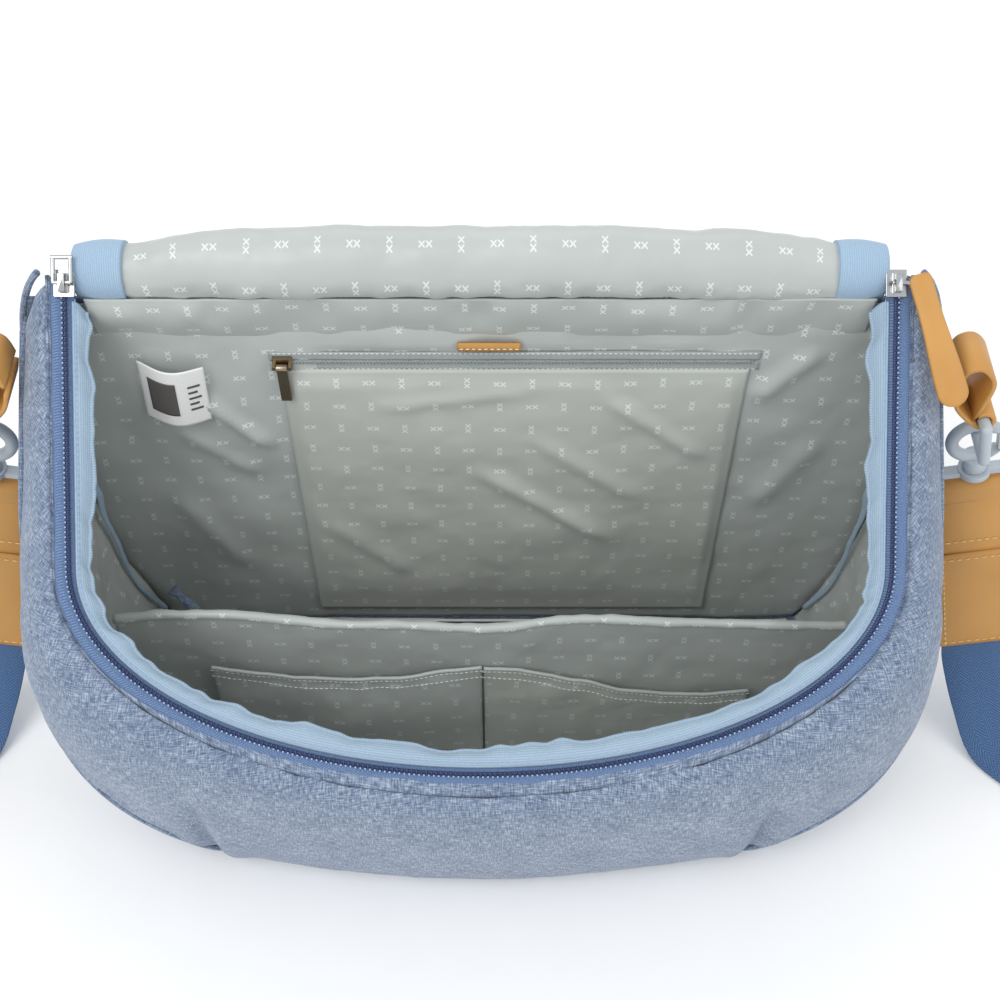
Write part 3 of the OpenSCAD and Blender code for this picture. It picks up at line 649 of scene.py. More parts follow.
aged_nickel = grained(
    "aged_bronze_nickel", "#8a7b68", "#a99a84", 0.5, {"Roughness": 0.32, "Metallic": 1.0}, relief=0.05,
)
thread_white = grained(
    "off_white_thread", "#d8dbd8", "#eef0ec", 0.3, {"Roughness": 0.8, "IOR": 1.45}, relief=0.3,
)
thread_tan = grained("tan_thread", "#d9b477", "#e9c98f", 0.3, {"Roughness": 0.8, "IOR": 1.45}, relief=0.3)
# A dark grey thread for the slip pockets' centre seam: painted shade in the recess where the two pockets
# meet.
thread_painted_shade = grained(
    "shadow_grey_thread", "#5f6563", "#737977", 0.3, {"Roughness": 0.8, "IOR": 1.45}, relief=0.3,
)
print_grey = grained(
    "printed_grey", "#55504f", "#625d5b", 0.4, {"Roughness": 0.6, "IOR": 1.45}, relief=0.05,
)
foam_finish = grained(
    "polyester_foam", "#cfcfca", "#deded9", 1.2, {"Roughness": 0.95, "IOR": 1.45}, relief=0.4,
)
board_finish = grained("stiffener_board", "#3d4045", "#4c4f54", 0.8, {"Roughness": 0.7, "IOR": 1.5})
floor_finish = grained(
    "pale_studio_floor", "#f3f3f2", "#f6f6f5", 5.0, {"Roughness": 0.8, "IOR": 1.45}, relief=0.0,
)
wear(floor, floor_finish)
print("finishes:", len(bpy.data.materials))

# %% [markdown]
# ## The wrap
# One function gives any point of the bag's skin. Its first parameter t runs round the
# D outline, 0 at the front centre and 1 at the rear corners; its second, v, runs from
# the floor to the mouth. The point is a blend of the base outline and the mouth
# outline, pushed outward by a belly that is stronger at the sides.

# %% The wrap surface
base_half, base_round = 196.0, 64.0
back_y, side_end_y = 84.0, -25.0
mouth_half, mouth_round, tape_w = 200.0, 76.0, 9.0
hinge_y, hinge_z, mouth_slope = 91.0, 312.0, 0.87
slope_a = math.atan(mouth_slope)
front_bulge, side_bulge = 13.0, 34.0


def d_outline(t, half, forward, rear=back_y):
    """A D from above: an ellipse quarter each side of the front, then straight sides back to the rear."""
    size = np.abs(t)
    a = np.radians(150.0 * np.clip(t, -0.6, 0.6))
    x = half * np.sin(a)
    y = side_end_y - forward * np.cos(a)
    y = np.where(size > 0.6, side_end_y + (rear - side_end_y) * (size - 0.6) / 0.4, y)
    return x, y


def mouth_z(y):
    return hinge_z - (hinge_y - y) * mouth_slope


def belly(v):
    return np.maximum(0.0, 1.0 - np.abs(2 * v - 1) ** 2.6) ** 0.6


def wrap(t, v):
    t, v = np.broadcast_arrays(np.asarray(t, dtype=float), np.asarray(v, dtype=float))
    bx, by = d_outline(t, base_half, base_round)
    rx, ry = d_outline(t, mouth_half + tape_w, mouth_round + tape_w)
    a = np.radians(150.0 * np.clip(t, -0.6, 0.6))
    nx, ny = mouth_round * np.sin(a), -mouth_half * np.cos(a)
    size = np.hypot(nx, ny)
    push = (front_bulge + (side_bulge - front_bulge) * ease((np.abs(t) - 0.1) / 0.5)) * belly(v)
    x = bx + (rx - bx) * v + nx / size * push
    y = np.minimum(back_y, by + (ry - by) * v + ny / size * push)
    return np.stack([x, y, v * mouth_z(ry)], axis=-1)


def wrap_normal(t, v):
    h = 0.01
    v0 = np.clip(v, 0.03, 0.95)
    a = wrap(np.minimum(1, t + h), v0) - wrap(np.maximum(-1, t - h), v0)
    c = wrap(t, v0 + h) - wrap(t, v0 - h)
    n = np.cross(a, c)
    return n / np.linalg.norm(n, axis=-1, keepdims=True)


def skin(t, v, off):
    """The wrap moved along its normal by off mm."""
    off = np.asarray(off, dtype=float)
    p = wrap(t, v) + wrap_normal(t, v) * off[..., None]
    p[..., 1] = np.minimum(p[..., 1], back_y)
    p[..., 2] = np.maximum(p[..., 2], 0.0)
    return p


seam_v = np.array([0.0, 0.2, 0.4, 0.6, 0.86, 0.905, 0.92, 1.0])
seam_k = np.array([0.30, 0.34, 0.48, 0.62, 0.76, 0.93, 0.985, 0.985])


def seam_t(v):
    """Where the front panel's side seam lies at each height: narrow at the floor, along the zip at the
    top."""
    return np.interp(v, seam_v, seam_k)


def rows_of(n, low=0.0, high=1.0):
    """Heights that crowd toward the floor and the mouth, where the wrap bends most."""
    k = np.linspace(0, 1, n)
    return low + (high - low) * (0.6 * (1 - np.cos(math.pi * k)) / 2 + 0.4 * k)


print("belly at mid height:", wrap(1.0, 0.5).round(1))

# %% [markdown]
# ## Outer cloth
# The front is one big rounded panel; its side seams run down from the sliders, swing
# out round the belly and come in to the base, so its lower corners overhang like
# wings. A dart creases each side of the front below the zip. The panel is a dense grid
# with shallow unevenness, a pucker along the zip, and rounded edges at the seams.

# %% Front panel
front_cols, front_rows = 301, 141
r_line = np.linspace(-1, 1, front_cols)
v_line = rows_of(front_rows)
v_grid, r_grid = np.meshgrid(v_line, r_line, indexing="ij")
t_grid = r_grid * seam_t(v_grid)
plain = wrap(t_grid, v_grid)
along = grid_uv(plain)
edge_away = np.minimum(along[..., 0] - along[:, :1, 0], along[:, -1:, 0] - along[..., 0])
lift = crumple(plain[..., 0], plain[..., 2], 70, seed=3) * 1.3
lift += crumple(plain[..., 0] * 1.6, plain[..., 2], 22, seed=5) * 0.45
top_away = along[-1:, :, 1] - along[..., 1]
seam_path_v = rows_of(110, 0.0, 0.96)
seam_away = np.full(plain.shape[:2], 1e3)
for side in (-1, 1):
    for knot in wrap(side * seam_t(seam_path_v), seam_path_v):
        seam_away = np.minimum(seam_away, np.linalg.norm(plain - knot, axis=-1))
lift -= 2.4 * np.exp(-((seam_away / 4.0) ** 2)) * ease((1 - v_grid) / 0.05)
lift += 1.2 * np.exp(-(((seam_away - 9) / 6) ** 2)) * ease((0.9 - v_grid) / 0.1)
lift += 0.8 * np.exp(-top_away / 9) * blob(along[..., 0] / 6.5, top_away / 40, seed=9)
lift -= 2.6 * np.exp(-edge_away / 2.2)
for side in (-1, 1):
    dart_t = side * (0.315 - 0.03 * v_grid)
    away = (t_grid - dart_t) * 330
    reach = ease((v_grid - 0.02) / 0.1) * ease((0.86 - v_grid) / 0.5)
    lift += reach * (-3.4 * np.exp(-(away / 3.2) ** 2) + 1.6 * np.exp(-((np.abs(away) - 9) / 6) ** 2))
front = cloth_sheet("front_cloth", skin(t_grid, v_grid, lift), 2.4)
finished(front, "bag", "melange_cloth", melange, "front_panel")
print("front cloth points:", front_cols * front_rows)

# %% Side gussets
for side, label in ((-1, "left"), (1, "right")):
    q_line = np.linspace(0, 1, 91)
    v_line = rows_of(121, 0.0, 0.902)
    v_grid, q_grid = np.meshgrid(v_line, q_line if side > 0 else q_line[::-1], indexing="ij")
    first = seam_t(v_grid) + 0.004
    t_grid = side * (first + (1 - first) * q_grid)
    plain = wrap(t_grid, v_grid)
    across = grid_uv(plain)[..., 0]
    seam_away = np.abs(across - (across[:, :1] if side > 0 else across[:, -1:]))
    rear_away = np.abs(across - (across[:, -1:] if side > 0 else across[:, :1]))
    lift = crumple(plain[..., 1] + 400 * side, plain[..., 2], 55, seed=21) * 1.8
    lift += crumple(plain[..., 1], plain[..., 2] * 0.5, 20, seed=23) * 0.8
    lift -= 2.8 * np.exp(-seam_away / 3.0) + 1.6 * np.exp(-rear_away / 2.5)
    gusset = cloth_sheet(f"side_cloth_{label}", skin(t_grid, v_grid, lift), 2.4)
    finished(gusset, "bag", "melange_cloth", melange_painted_shade, f"gusset_{label}")
print("gussets done")

# %% [markdown]
# ### Piped seams
# Each panel seam is turned inside and shows as a thin rounded ridge. It is a small
# tube of the same cloth carried along the seam line.


# %% Seam ridges
def seam_ridge(name, line, radius=1.9, finish=melange):
    """A tube along the seam line, which is kept one radius above the floor."""
    line[:, 2] = np.maximum(line[:, 2], radius)
    ridge = carried_profile(name, line, round_profile(radius, 10), (0.3, 1.0, 0.2))
    return finished(ridge, "bag", "melange_cloth", finish)


for side, label in ((-1, "left"), (1, "right")):
    v_line = rows_of(160, 0.0, 0.915)
    seam_ridge(
        f"front_seam_{label}", skin(side * (seam_t(v_line) + 0.002), v_line, np.full(160, -0.1)),
        finish=melange_painted_shade,
    )
    v_line = rows_of(160, 0.0, 0.99)
    rear_line = wrap(np.full(160, float(side)), v_line)
    rear_line[:, 1] += 1.6
    seam_ridge(f"rear_seam_{label}", rear_line, 1.8)

# %% [markdown]
# ### Side pockets
# Each side has a flat pocket whose lower part bulges like an ear. It is a second patch
# of the same wrap, held off it by a depth that is nothing at its sewn sides and foot
# and widest at its open upper edge.

# %% Side pockets
for side, label in ((-1, "left"), (1, "right")):
    q_line = np.linspace(0, 1, 81)
    k_line = np.linspace(0, 1, 81)
    k_grid, q_grid = np.meshgrid(k_line, q_line if side > 0 else q_line[::-1], indexing="ij")
    v_grid = 0.03 + (0.56 - 0.03) * k_grid
    v_grid = v_grid + 0.06 * (1 - q_grid) * k_grid
    t_grid = side * (0.645 + 0.335 * q_grid)
    depth = 9.0 * ease(k_grid * 1.3) * np.sqrt(np.maximum(np.sin(math.pi * q_grid), 0))
    lift = 1.2 + depth + 1.2 * crumple(q_grid * 90 + side * 50, k_grid * 140, 34, seed=31)
    lift += 0.8 * np.exp(-(1 - k_grid) * 140 / 3.0)
    pocket = cloth_sheet(f"side_pocket_cloth_{label}", skin(t_grid, v_grid, lift), 1.6)
    finished(pocket, "bag", "melange_cloth", melange_painted_shade, f"side_pocket_{label}")

# %% [markdown]
# ### Rear and base
# The rear wall is a flat panel with the side profile of the wrap as its outline. The
# grid's columns run from one side profile to the other, so its edges follow them.

# %% Rear wall and base
rear_rows, rear_cols = 101, 141
height = np.linspace(0.0, 1.0, rear_rows)
profile = wrap(np.ones(400), np.linspace(0, 1, 400))
rear_top = 285.7
z_line = 0.4 + (rear_top - 0.6) * height
half_at = np.interp(z_line, profile[:, 2], profile[:, 0])
s_line = np.linspace(-1, 1, rear_cols)
rear_x = s_line[None, :] * half_at[:, None]
rear_z = np.broadcast_to(z_line[:, None], rear_x.shape)
rear_edge = ease((half_at[:, None] - np.abs(rear_x)) / 12)
rear_y = back_y + 3.2 + 1.2 * crumple(rear_x, rear_z, 80, seed=41) * rear_edge
rear_points = np.stack([-rear_x, rear_y, rear_z], axis=-1)
rear_cloth = cloth_sheet("rear_cloth", rear_points, 2.4)
finished(rear_cloth, "bag", "melange_cloth", melange_painted_shade, "back_panel")
base_t = np.linspace(-1, 1, 121)
bx, by = d_outline(base_t, base_half - 3.3, base_round - 3.3, back_y - 3.3)
edge_line = np.stack([bx, by], axis=-1)
scale_line = np.linspace(0.02, 1.0, 24)
base_xy = np.array([0.0, 10.0]) + (edge_line[None] - np.array([0.0, 10.0])) * scale_line[:, None, None]
base_points = np.concatenate([base_xy, np.full(base_xy.shape[:2] + (1,), 2.8)], axis=-1)
base_cloth = cloth_sheet("base_cloth", base_points[::-1], 2.2)
finished(base_cloth, "bag", "melange_cloth", melange_painted_shade, "base_panel")
print("rear and base done")

# %% [markdown]
# ## Many small copies
# Zip elements and stitches repeat hundreds of times. One short rod is made with six
# sides and four rings, and numpy places every copy at once: each copy has a place and
# three axis vectors, which also give it its length and thickness.


# %% Copies and stitches
rod_ring = round_profile(1.0, 6)
rod_steps = np.array([[-0.5, 0.45], [-0.36, 1.0], [0.36, 1.0], [0.5, 0.45]])
rod_points = np.concatenate([np.column_stack([np.full(6, x), rod_ring * r]) for x, r in rod_steps])
rod_faces = np.concatenate(
    [grid_quads(4, 6, close_cols=True), [[0, 1, 2, 3], [0, 3, 4, 5], [21, 20, 19, 18], [23, 22, 21, 18]]]
)


def copies(name, places, axes, points=rod_points, faces=rod_faces):
    """Copies of a small mesh: place + points times axes (k, 3, 3), whose three rows say where the
    copy's own x, y and z go, in mm."""
    all_points = places[:, None, :] + np.einsum("nj,kji->kni", points, axes)
    all_faces = faces[None] + (np.arange(len(places)) * len(points))[:, None, None]
    return put_mesh(name, all_points.reshape(-1, 3) * MM, all_faces.reshape(-1, faces.shape[1]))


def evenly(path, pitch):
    """Places every pitch mm along a path, with the unit direction of travel at each."""
    path = np.asarray(path, dtype=float)
    run = np.concatenate([[0.0], np.cumsum(np.linalg.norm(np.diff(path, axis=0), axis=1))])
    at = np.linspace(0, run[-1], max(2, int(run[-1] / pitch)))
    places = np.stack([np.interp(at, run, path[:, k]) for k in range(3)], axis=-1)
    way = np.gradient(places, axis=0)
    return places, way / np.linalg.norm(way, axis=1, keepdims=True)


def stitches(
    name, path, outward, body="bag", finish=None, pitch=3.2, length=2.3, thick=0.36, slot="webbing",
):
    """A row of short threads along a path, each lying half sunk in the cloth."""
    places, way = evenly(path, pitch)
    outward = np.broadcast_to(np.asarray(outward, dtype=float), way.shape)
    side = np.cross(outward, way)
    side /= np.linalg.norm(side, axis=1, keepdims=True)
    up = np.cross(way, side)
    axes = np.stack([way * length, side * thick, up * thick], axis=1)
    return finished(copies(name, places, axes), body, slot, finish or thread_white)


print("one rod has", len(rod_faces), "faces")

# %% [markdown]
# ## The mouth zip
# The zip runs along the mouth from one slider round the front to the other. Beside the
# coil lies a herringbone tape: wide at the sides, turned under at the front. The coil
# is a row of nylon elements leaning across the zip, 2.4 mm apart, held by a light
# sewing thread that shows as dots.

# %% Tapes beside the coil
up_mouth = np.array([0.0, -math.sin(slope_a), math.cos(slope_a)])
tooth_pitch = 2.4


def mouth_line(t, grow, drop=0.0, rear=82.0):
    """Points on the mouth plane: the D of the zip grown by grow mm, dropped by drop mm."""
    x, y = d_outline(t, mouth_half + grow, mouth_round + grow, rear)
    return np.stack([x, y, mouth_z(y) - drop], axis=-1)


t_line = np.linspace(-1, 1, 361)
q_line = np.linspace(0, 1, 9)
q_grid, t_grid = np.meshgrid(q_line, t_line, indexing="ij")
side_share = ease((np.abs(t_grid) - 0.12) / 0.4)
outer_grow = 6.2 + 3.0 * side_share
grow = outer_grow + (1.3 - outer_grow) * q_grid
arch = np.sin(math.pi * np.clip(q_grid, 0, 0.7))
drop = 1.6 - 1.8 * arch + 0.2 * q_grid + 0.3 * blob(t_grid * 40, q_grid * 2, 3)
body_tape = cloth_sheet("zip_tape_outer", mouth_line(t_grid, grow, drop), 0.9)
finished(body_tape, "bag", "zip_tape", zip_cloth, "body_zip_tape")
grow = 0.2 + (-3.4 - 0.2) * q_grid
inner_tape = cloth_sheet("zip_tape_inner", mouth_line(t_grid, grow, 1.3 + 1.8 * q_grid), 0.8)
finished(inner_tape, "bag", "zip_tape", zip_cloth)
print("tape width at the sides:", round(9.2 - 1.3, 1))


# %% Turned canvas edge
lip_q, lip_t = np.meshgrid(np.linspace(0, 1, 9), t_line, indexing="ij")
side_share = ease((np.abs(lip_t) - 0.12) / 0.4)
lip_in = 2.6 + 6.0 * side_share
lip_grow = 8.9 + (lip_in - 8.9) * lip_q
lip_drop = 2.3 - 2.7 * np.sin(math.pi * (0.12 + 0.74 * lip_q)) + 0.35 * blob(lip_t * 46, lip_q, 19)
canvas_lip = cloth_sheet("turned_canvas_edge", mouth_line(lip_t, lip_grow, lip_drop), 1.2)
finished(canvas_lip, "bag", "melange_cloth", melange)


# %% Coil elements
def coil(
    name, line, outward_side, lift, body, node=None, pitch=tooth_pitch, width=3.0, thick=0.72, finish=None,
    dots=True, slot="zip_coil",
):
    """Elements across a line: each rod leans a little along the zip; a pale thread dot lies between
    two elements."""
    places, way = evenly(line, pitch)
    up = np.broadcast_to(np.asarray(lift, dtype=float), way.shape)
    across = np.cross(way, up)
    across /= np.linalg.norm(across, axis=1, keepdims=True)
    lean = across * 0.93 + way * 0.3
    axes = np.stack([lean * width, way * thick, up * thick * 1.25], axis=1)
    teeth = copies(name, places + up * 0.3, axes)
    finished(teeth, body, slot, finish or coil_nylon, *([node] if node else []))
    cord_path = places[::3] - up[::3] * 0.35
    cord_line = carried_profile(name + "_core", cord_path, round_profile(1.0, 8, 0.75), across[::3])
    finished(cord_line, body, slot, finish or coil_nylon)
    if dots:
        dot_axes = np.stack([across * 0.9, way * 0.5, up * 0.45], axis=1)
        dot = copies(
            name + "_thread", places + way * pitch / 2 + across * outward_side * 1.15 + up * 0.72, dot_axes,
        )
        finished(dot, body, "zip_tape", thread_light)
    return teeth


thread_light = grained(
    "pale_blue_thread", "#8fa9cf", "#a9c0de", 0.3, {"Roughness": 0.7, "IOR": 1.45}, relief=0.2,
)
coil("zip_coil", mouth_line(t_line, 0.6, -0.2), 1, up_mouth, "bag", "body_zip_teeth")

# %% [markdown]
# ### Mouth binding
# A pale ribbon covers the raw edge inside the mouth. It is gathered a little, so its
# inner edge waves; the wave comes from smooth noise along the mouth, and it grows
# from nothing at the sewn edge to a millimetre and a half at the free edge.

# %% Mouth binding
t_line = np.linspace(-0.99, 0.99, 601)
q_line = np.linspace(0, 1, 15)
q_grid, t_grid = np.meshgrid(q_line, t_line, indexing="ij")
wave = blob(t_grid * 26, 0 * t_grid, 7) + 0.6 * blob(t_grid * 60, 0 * t_grid, 8)
slack = blob(t_grid * 26 + 9, 0 * t_grid, 9)
ribbon_w = 10.2 - 3.6 * ease((np.abs(t_grid) - 0.35) / 0.3)
grow = -2.4 - ribbon_w * q_grid + 1.5 * wave * q_grid
drop = 1.6 + 6.6 * q_grid**1.3 - 1.6 * np.sin(math.pi * q_grid) + 1.5 * slack * q_grid
ribbon = cloth_sheet("mouth_ribbon", mouth_line(t_grid, grow, drop, 76), 1.5)
finished(ribbon, "bag", "binding_tape", binding_cloth, "mouth_binding")
free_edge = mouth_line(t_line, grow[-1], (1.6 + 6.6 + 1.5 * slack)[-1] + 0.6, 76)
hem = carried_profile("mouth_ribbon_hem", free_edge, round_profile(1.15, 10), up_mouth)
finished(hem, "bag", "binding_tape", binding_cloth)
stitches(
    "mouth_ribbon_stitches", mouth_line(t_line, -4.2, 1.2, 76), up_mouth, pitch=3.0, length=2.0, thick=0.24,
    finish=thread_light, slot="binding_tape",
)

# %% [markdown]
# ## Satin lining
# The lining hangs a few millimetres inside the canvas and has more cloth than it
# needs, so it buckles in long soft folds. The wrap lining is a patch of the same wrap
# facing inward; noise stretched upward gives upright folds in the sides.

# %% Wrap lining
t_line = np.linspace(0.985, -0.985, 321)
v_line = rows_of(101, 0.02, 0.975)
v_grid, t_grid = np.meshgrid(v_line, t_line, indexing="ij")
plain = wrap(t_grid, v_grid)
girth = t_grid * 330
calm = ease((1 - v_grid) / 0.12) * ease(v_grid / 0.1)
folds = 3.2 * crumple(girth, plain[..., 2] * 0.35, 34, seed=51)
folds += 1.3 * crumple(girth, plain[..., 2], 16, seed=53)
wrap_satin = cloth_sheet("wrap_satin", skin(t_grid, v_grid, -7.4 - (folds + 3.0) * calm), 1.0)
finished(wrap_satin, "bag", "satin_lining", satin, "wrap_lining")

# %% [markdown]
# ### Rear lining, zipped pocket and creases
# The rear lining is a flat piece, and a smaller piece sewn on it makes the zipped
# pocket. Both are pulled by their seams: a crease is a raised line between two points,
# high along its ridge and falling off to either side.


# %% Upright panels
def crease(x, z, x0, z0, x1, z1, width, height):
    """A ridge from (x0, z0) to (x1, z1): a bell across, fading at both ends."""
    dx, dz = x1 - x0, z1 - z0
    size = math.hypot(dx, dz)
    along = ((x - x0) * dx + (z - z0) * dz) / size**2
    off = ((x - x0) * dz - (z - z0) * dx) / size
    ends = ease(along * 4) * ease((1 - along) * 4)
    return height * ends * np.exp(-(off / width) ** 2)


def upright(name, x_of, low, top, y_of, wall, rows=60, cols=120):
    """A panel facing the front. x_of(s, z) spreads s from 0 to 1 across it, low and top are heights or
    functions of s, and y_of(x, z, k) gives its depth."""
    s = np.linspace(0, 1, cols)
    k, s = np.meshgrid(np.linspace(0, 1, rows), s, indexing="ij")
    z0 = low(s) if callable(low) else low
    z1 = top(s) if callable(top) else top
    z = z0 + (z1 - z0) * k
    x = x_of(s, z)
    return cloth_sheet(name, np.stack([x, y_of(x, z, k), z], axis=-1), wall)


def rear_half(z):
    return np.interp(z, profile[:, 2], profile[:, 0]) - 8.0


rear_creases = [
    (-156, 228, -112, 176, 4.5, 4.2), (-170, 200, -120, 150, 5, 2.6), (-10, 170, 84, 92, 6, 4.2),
    (20, 196, 96, 132, 6, 2.6), (60, 226, 128, 168, 5, 2.8), (140, 214, 176, 258, 6, 3.6),
    (150, 120, 186, 190, 8, 3.4), (-95, 120, -40, 60, 7, 2.4), (-60, 214, 30, 226, 5, 1.8),
    (-178, 140, -140, 60, 8, 3.2),
]


def rear_relief(x, z):
    total = 2.2 * crumple(x, z, 60, seed=61) + 0.9 * crumple(x, z, 22, seed=63)
    for c in rear_creases:
        total = total + crease(x, z, *c)
    return total


rear_satin = upright(
    "rear_satin", lambda s, z: (2 * s - 1) * rear_half(z), 7.0, 284.0,
    lambda x, z, k: 82.6 - (
        (1.6 + rear_relief(x, z))
        * ease((rear_half(z) - np.abs(x)) / 14)
        * ease((1 - k) * 12)
        * (1 - 0.75 * ease((112 - np.abs(x - 17)) / 20) * ease((256 - z) / 5))
    ),
    1.0, 90, 180,
)
finished(rear_satin, "bag", "satin_lining", satin, "back_lining")
pocket_cloth = upright(
    "zip_pocket_cloth", lambda s, z: -104 + 242 * s, 20.0, 240.5,
    lambda x, z, k: 79.4 - (
        (1.2 + rear_relief(x, z) * 0.9 + 2.2 * np.sin(math.pi * k))
        * ease((121.5 - np.abs(x - 17)) / 9)
        * ease((1 - k) * 16)
        * ease(k * 8)
    ),
    0.9, 90, 140,
)
# The pocket patch wears the lighter copy of the lining: painted light.
finished(pocket_cloth, "bag", "satin_lining", satin_painted_light, "zip_pocket_patch")
print("creases:", len(rear_creases))

# %% Inner zip
zip_low, zip_mid, zip_high = 239.6, 246.0, 252.4
for low, top, label in ((zip_low, zip_mid - 0.7, "lower"), (zip_mid + 0.7, zip_high, "upper")):
    band = upright(
        f"inner_tape_{label}", lambda s, z: -109 + 252 * s, low, top,
        lambda x, z, k: 80.6 + 0.3 * blob(x / 14, z / 9, 5), 0.8, 6, 120,
    )
    finished(band, "bag", "grey_tape", grey_zip_cloth, *(["inner_zip_tape"] if label == "lower" else []))
    edge = zip_low + 0.8 if label == "lower" else zip_high - 0.8
    x_line = np.linspace(-106, 140, 60)
    stitches(
        f"inner_tape_stitches_{label}", np.column_stack([x_line, np.full(60, 80.3), np.full(60, edge)]),
        (0, -1, 0), pitch=2.6, length=1.8, thick=0.25, slot="grey_tape",
    )
x_line = np.linspace(-104, 139, 80)
coil(
    "inner_coil", np.column_stack([x_line, np.full(80, 80.2), np.full(80, zip_mid)]), 1, (0, -1, 0), "bag",
    pitch=1.7, width=3.2, thick=0.5, finish=grey_nylon, dots=False, slot="grey_tape",
)

# %% [markdown]
# ### Divider and organiser pockets
# A padded divider stands across the bag and carries two slip pockets on its front. Its
# upper edge is a soft fold that waves, so its height is a sum of a few bells. The
# pockets sag: their upper edges dip between the seams and their middles stand off.

# %% Divider and pockets
floor_z = 7.1


def divider_top(x):
    return (
        137.0 + 6.0 * np.exp(-((x + 148) / 42) ** 2) - 3.0 * np.exp(-((x - 110) / 60) ** 2)
        - 2.0 * np.exp(-((x - 10) / 40) ** 2) + 1.2 * blob(x / 26, 0 * x, 12)
    )


def divider_depth(x, z):
    return -10.0 - 3.2 * blob(x / 58, z / 120, 13) * ease(z / 60) - 1.4 * crumple(x, z, 30, seed=71)


divider_cloth = upright(
    "divider_cloth", lambda s, z: -197 + 392 * s, floor_z,
    lambda s: divider_top(-197 + 392 * s), lambda x, z, k: divider_depth(x, z), 3.2, 60, 200,
)
finished(divider_cloth, "bag", "satin_lining", satin, "divider")
x_line = np.linspace(-197, 195, 160)
fold = np.column_stack(
    [x_line, divider_depth(x_line, divider_top(x_line)) + 1.4, divider_top(x_line) + 0.2]
)
fold_profile = round_profile(2.6, 12) * (1 + 0.14 * blob(x_line / 7, 0 * x_line, 14))[:, None, None]
finished(carried_profile("divider_fold", fold, fold_profile, (0, 1, 0)), "bag", "satin_lining", satin)


def left_top(x):
    dip = np.sin(math.pi * np.clip((x + 150) / 149.4, 0, 1)) ** 1.2
    return 100.0 - 11.0 * dip + 0.8 * blob(x / 15, 0 * x, 15)


def right_top(x):
    return 100.0 - 27.0 * ease((x - 0.6) / 110) + 2.0 * ease((x - 120) / 30) + 0.8 * blob(x / 15, 0 * x, 16)


for label, x0, x1, top in (("left", -150.0, -0.6, left_top), ("right", 0.6, 150.0, right_top)):
    def depth(x, z, k, x0=x0, x1=x1):
        across = (x - x0) / (x1 - x0)
        bulge = np.sin(math.pi * across) ** 0.6 * np.sin(math.pi * np.clip(k, 0.05, 0.94))
        return -14.0 - (4.0 + 3.0 * blob(x / 40, z / 50, 17)) * bulge - 1.2 * crumple(x, z, 20, seed=73)

    slip = upright(
        f"slip_pocket_{label}",
        lambda s, z, x0=x0, x1=x1: x0 + (x1 - x0) * s,
        floor_z,
        lambda s, x0=x0, x1=x1, top=top: top(x0 + (x1 - x0) * s),
        depth, 1.2, 50, 110,
    )
    # The right pocket wears the lighter copy of the lining: painted light.
    finished(
        slip, "bag", "satin_lining", satin_painted_light if label == "right" else satin, f"organiser_pocket_{label}"
    )
    x_line = np.linspace(x0, x1, 110)
    edge_y = depth(x_line, top(x_line), np.ones(110))
    finished(
        carried_profile(
            f"slip_hem_{label}", np.column_stack([x_line, edge_y + 0.4, top(x_line)]),
            round_profile(1.1, 8), (0, 1, 0),
        ),
        "bag", "satin_lining", satin,
    )
    for n, below in enumerate((2.6, 9.0)):
        z_row = top(x_line) - below
        k_row = (z_row - floor_z) / (top(x_line) - floor_z)
        stitches(
            f"slip_stitches_{label}_{n}",
            np.column_stack([x_line, depth(x_line, z_row, k_row) - 0.1, z_row]), (0, -1, 0), pitch=2.8,
            length=1.9, thick=0.26, slot="satin_lining",
        )
# The centre seam's thread is dark: painted shade between the two pockets.
z_line = np.linspace(12, 97, 40)
stitches(
    "slip_centre_stitches", np.column_stack([np.zeros(40), np.full(40, -15.2), z_line]), (0, -1, 0),
    pitch=2.8, length=1.9, thick=0.3, finish=thread_painted_shade, slot="satin_lining",
)
floor_satin = cloth_sheet(
    "base_satin", base_points[::-1] * np.array([0.965, 0.965, 0]) + np.array([0, 0, 6.7]), 1.0,
)
finished(floor_satin, "bag", "satin_lining", satin, "base_lining")

# %% [markdown]
# ### Padded roll over the hinge
# Where the lid folds back, its padded lining makes a full roll. Its section is nearly
# round; a seam in its lower front pinches it, and the cloth puckers beside the seam.
# Below the seam a gathered strip joins the roll to the rear lining.

# %% Hinge roll
roll_y, roll_z = 91.0, 303.0
x_line = np.linspace(-187, 187, 241)
angle = np.linspace(0, 2 * math.pi, 72, endpoint=False)
a_grid = np.broadcast_to(angle, (241, 72))
x_grid = np.broadcast_to(x_line[:, None], (241, 72))
seam_a = math.radians(216)
off_seam = np.angle(np.exp(1j * (a_grid - seam_a)))
fullness = 1 - 0.26 * ease((np.abs(x_grid) - 120) / 67) ** 1.5
radius = 17.0 * fullness
radius = radius + 1.7 * crumple(x_grid, a_grid * 17, 46, seed=81)
radius = radius + 0.8 * crumple(x_grid, a_grid * 17, 15, seed=83)
radius = radius + 1.1 * np.exp(-((off_seam) / 0.5) ** 2) * blob(x_grid / 7, off_seam * 2, 84)
radius = radius - 3.6 * np.exp(-(off_seam / 0.11) ** 2)
roll_profile = np.stack([radius * 0.98 * np.cos(a_grid), radius * 1.12 * np.sin(a_grid)], axis=-1)
roll_path = np.column_stack(
    [
        x_line, np.full(241, roll_y),
        roll_z + 1.2 * np.cos(x_line / 75) - 0.9 - 5.0 * ease((np.abs(x_line) - 120) / 67),
    ]
)
roll = carried_profile("padded_roll", roll_path, roll_profile, (0, 1, 0))
finished(roll, "bag", "satin_lining", satin, "hinge_roll")
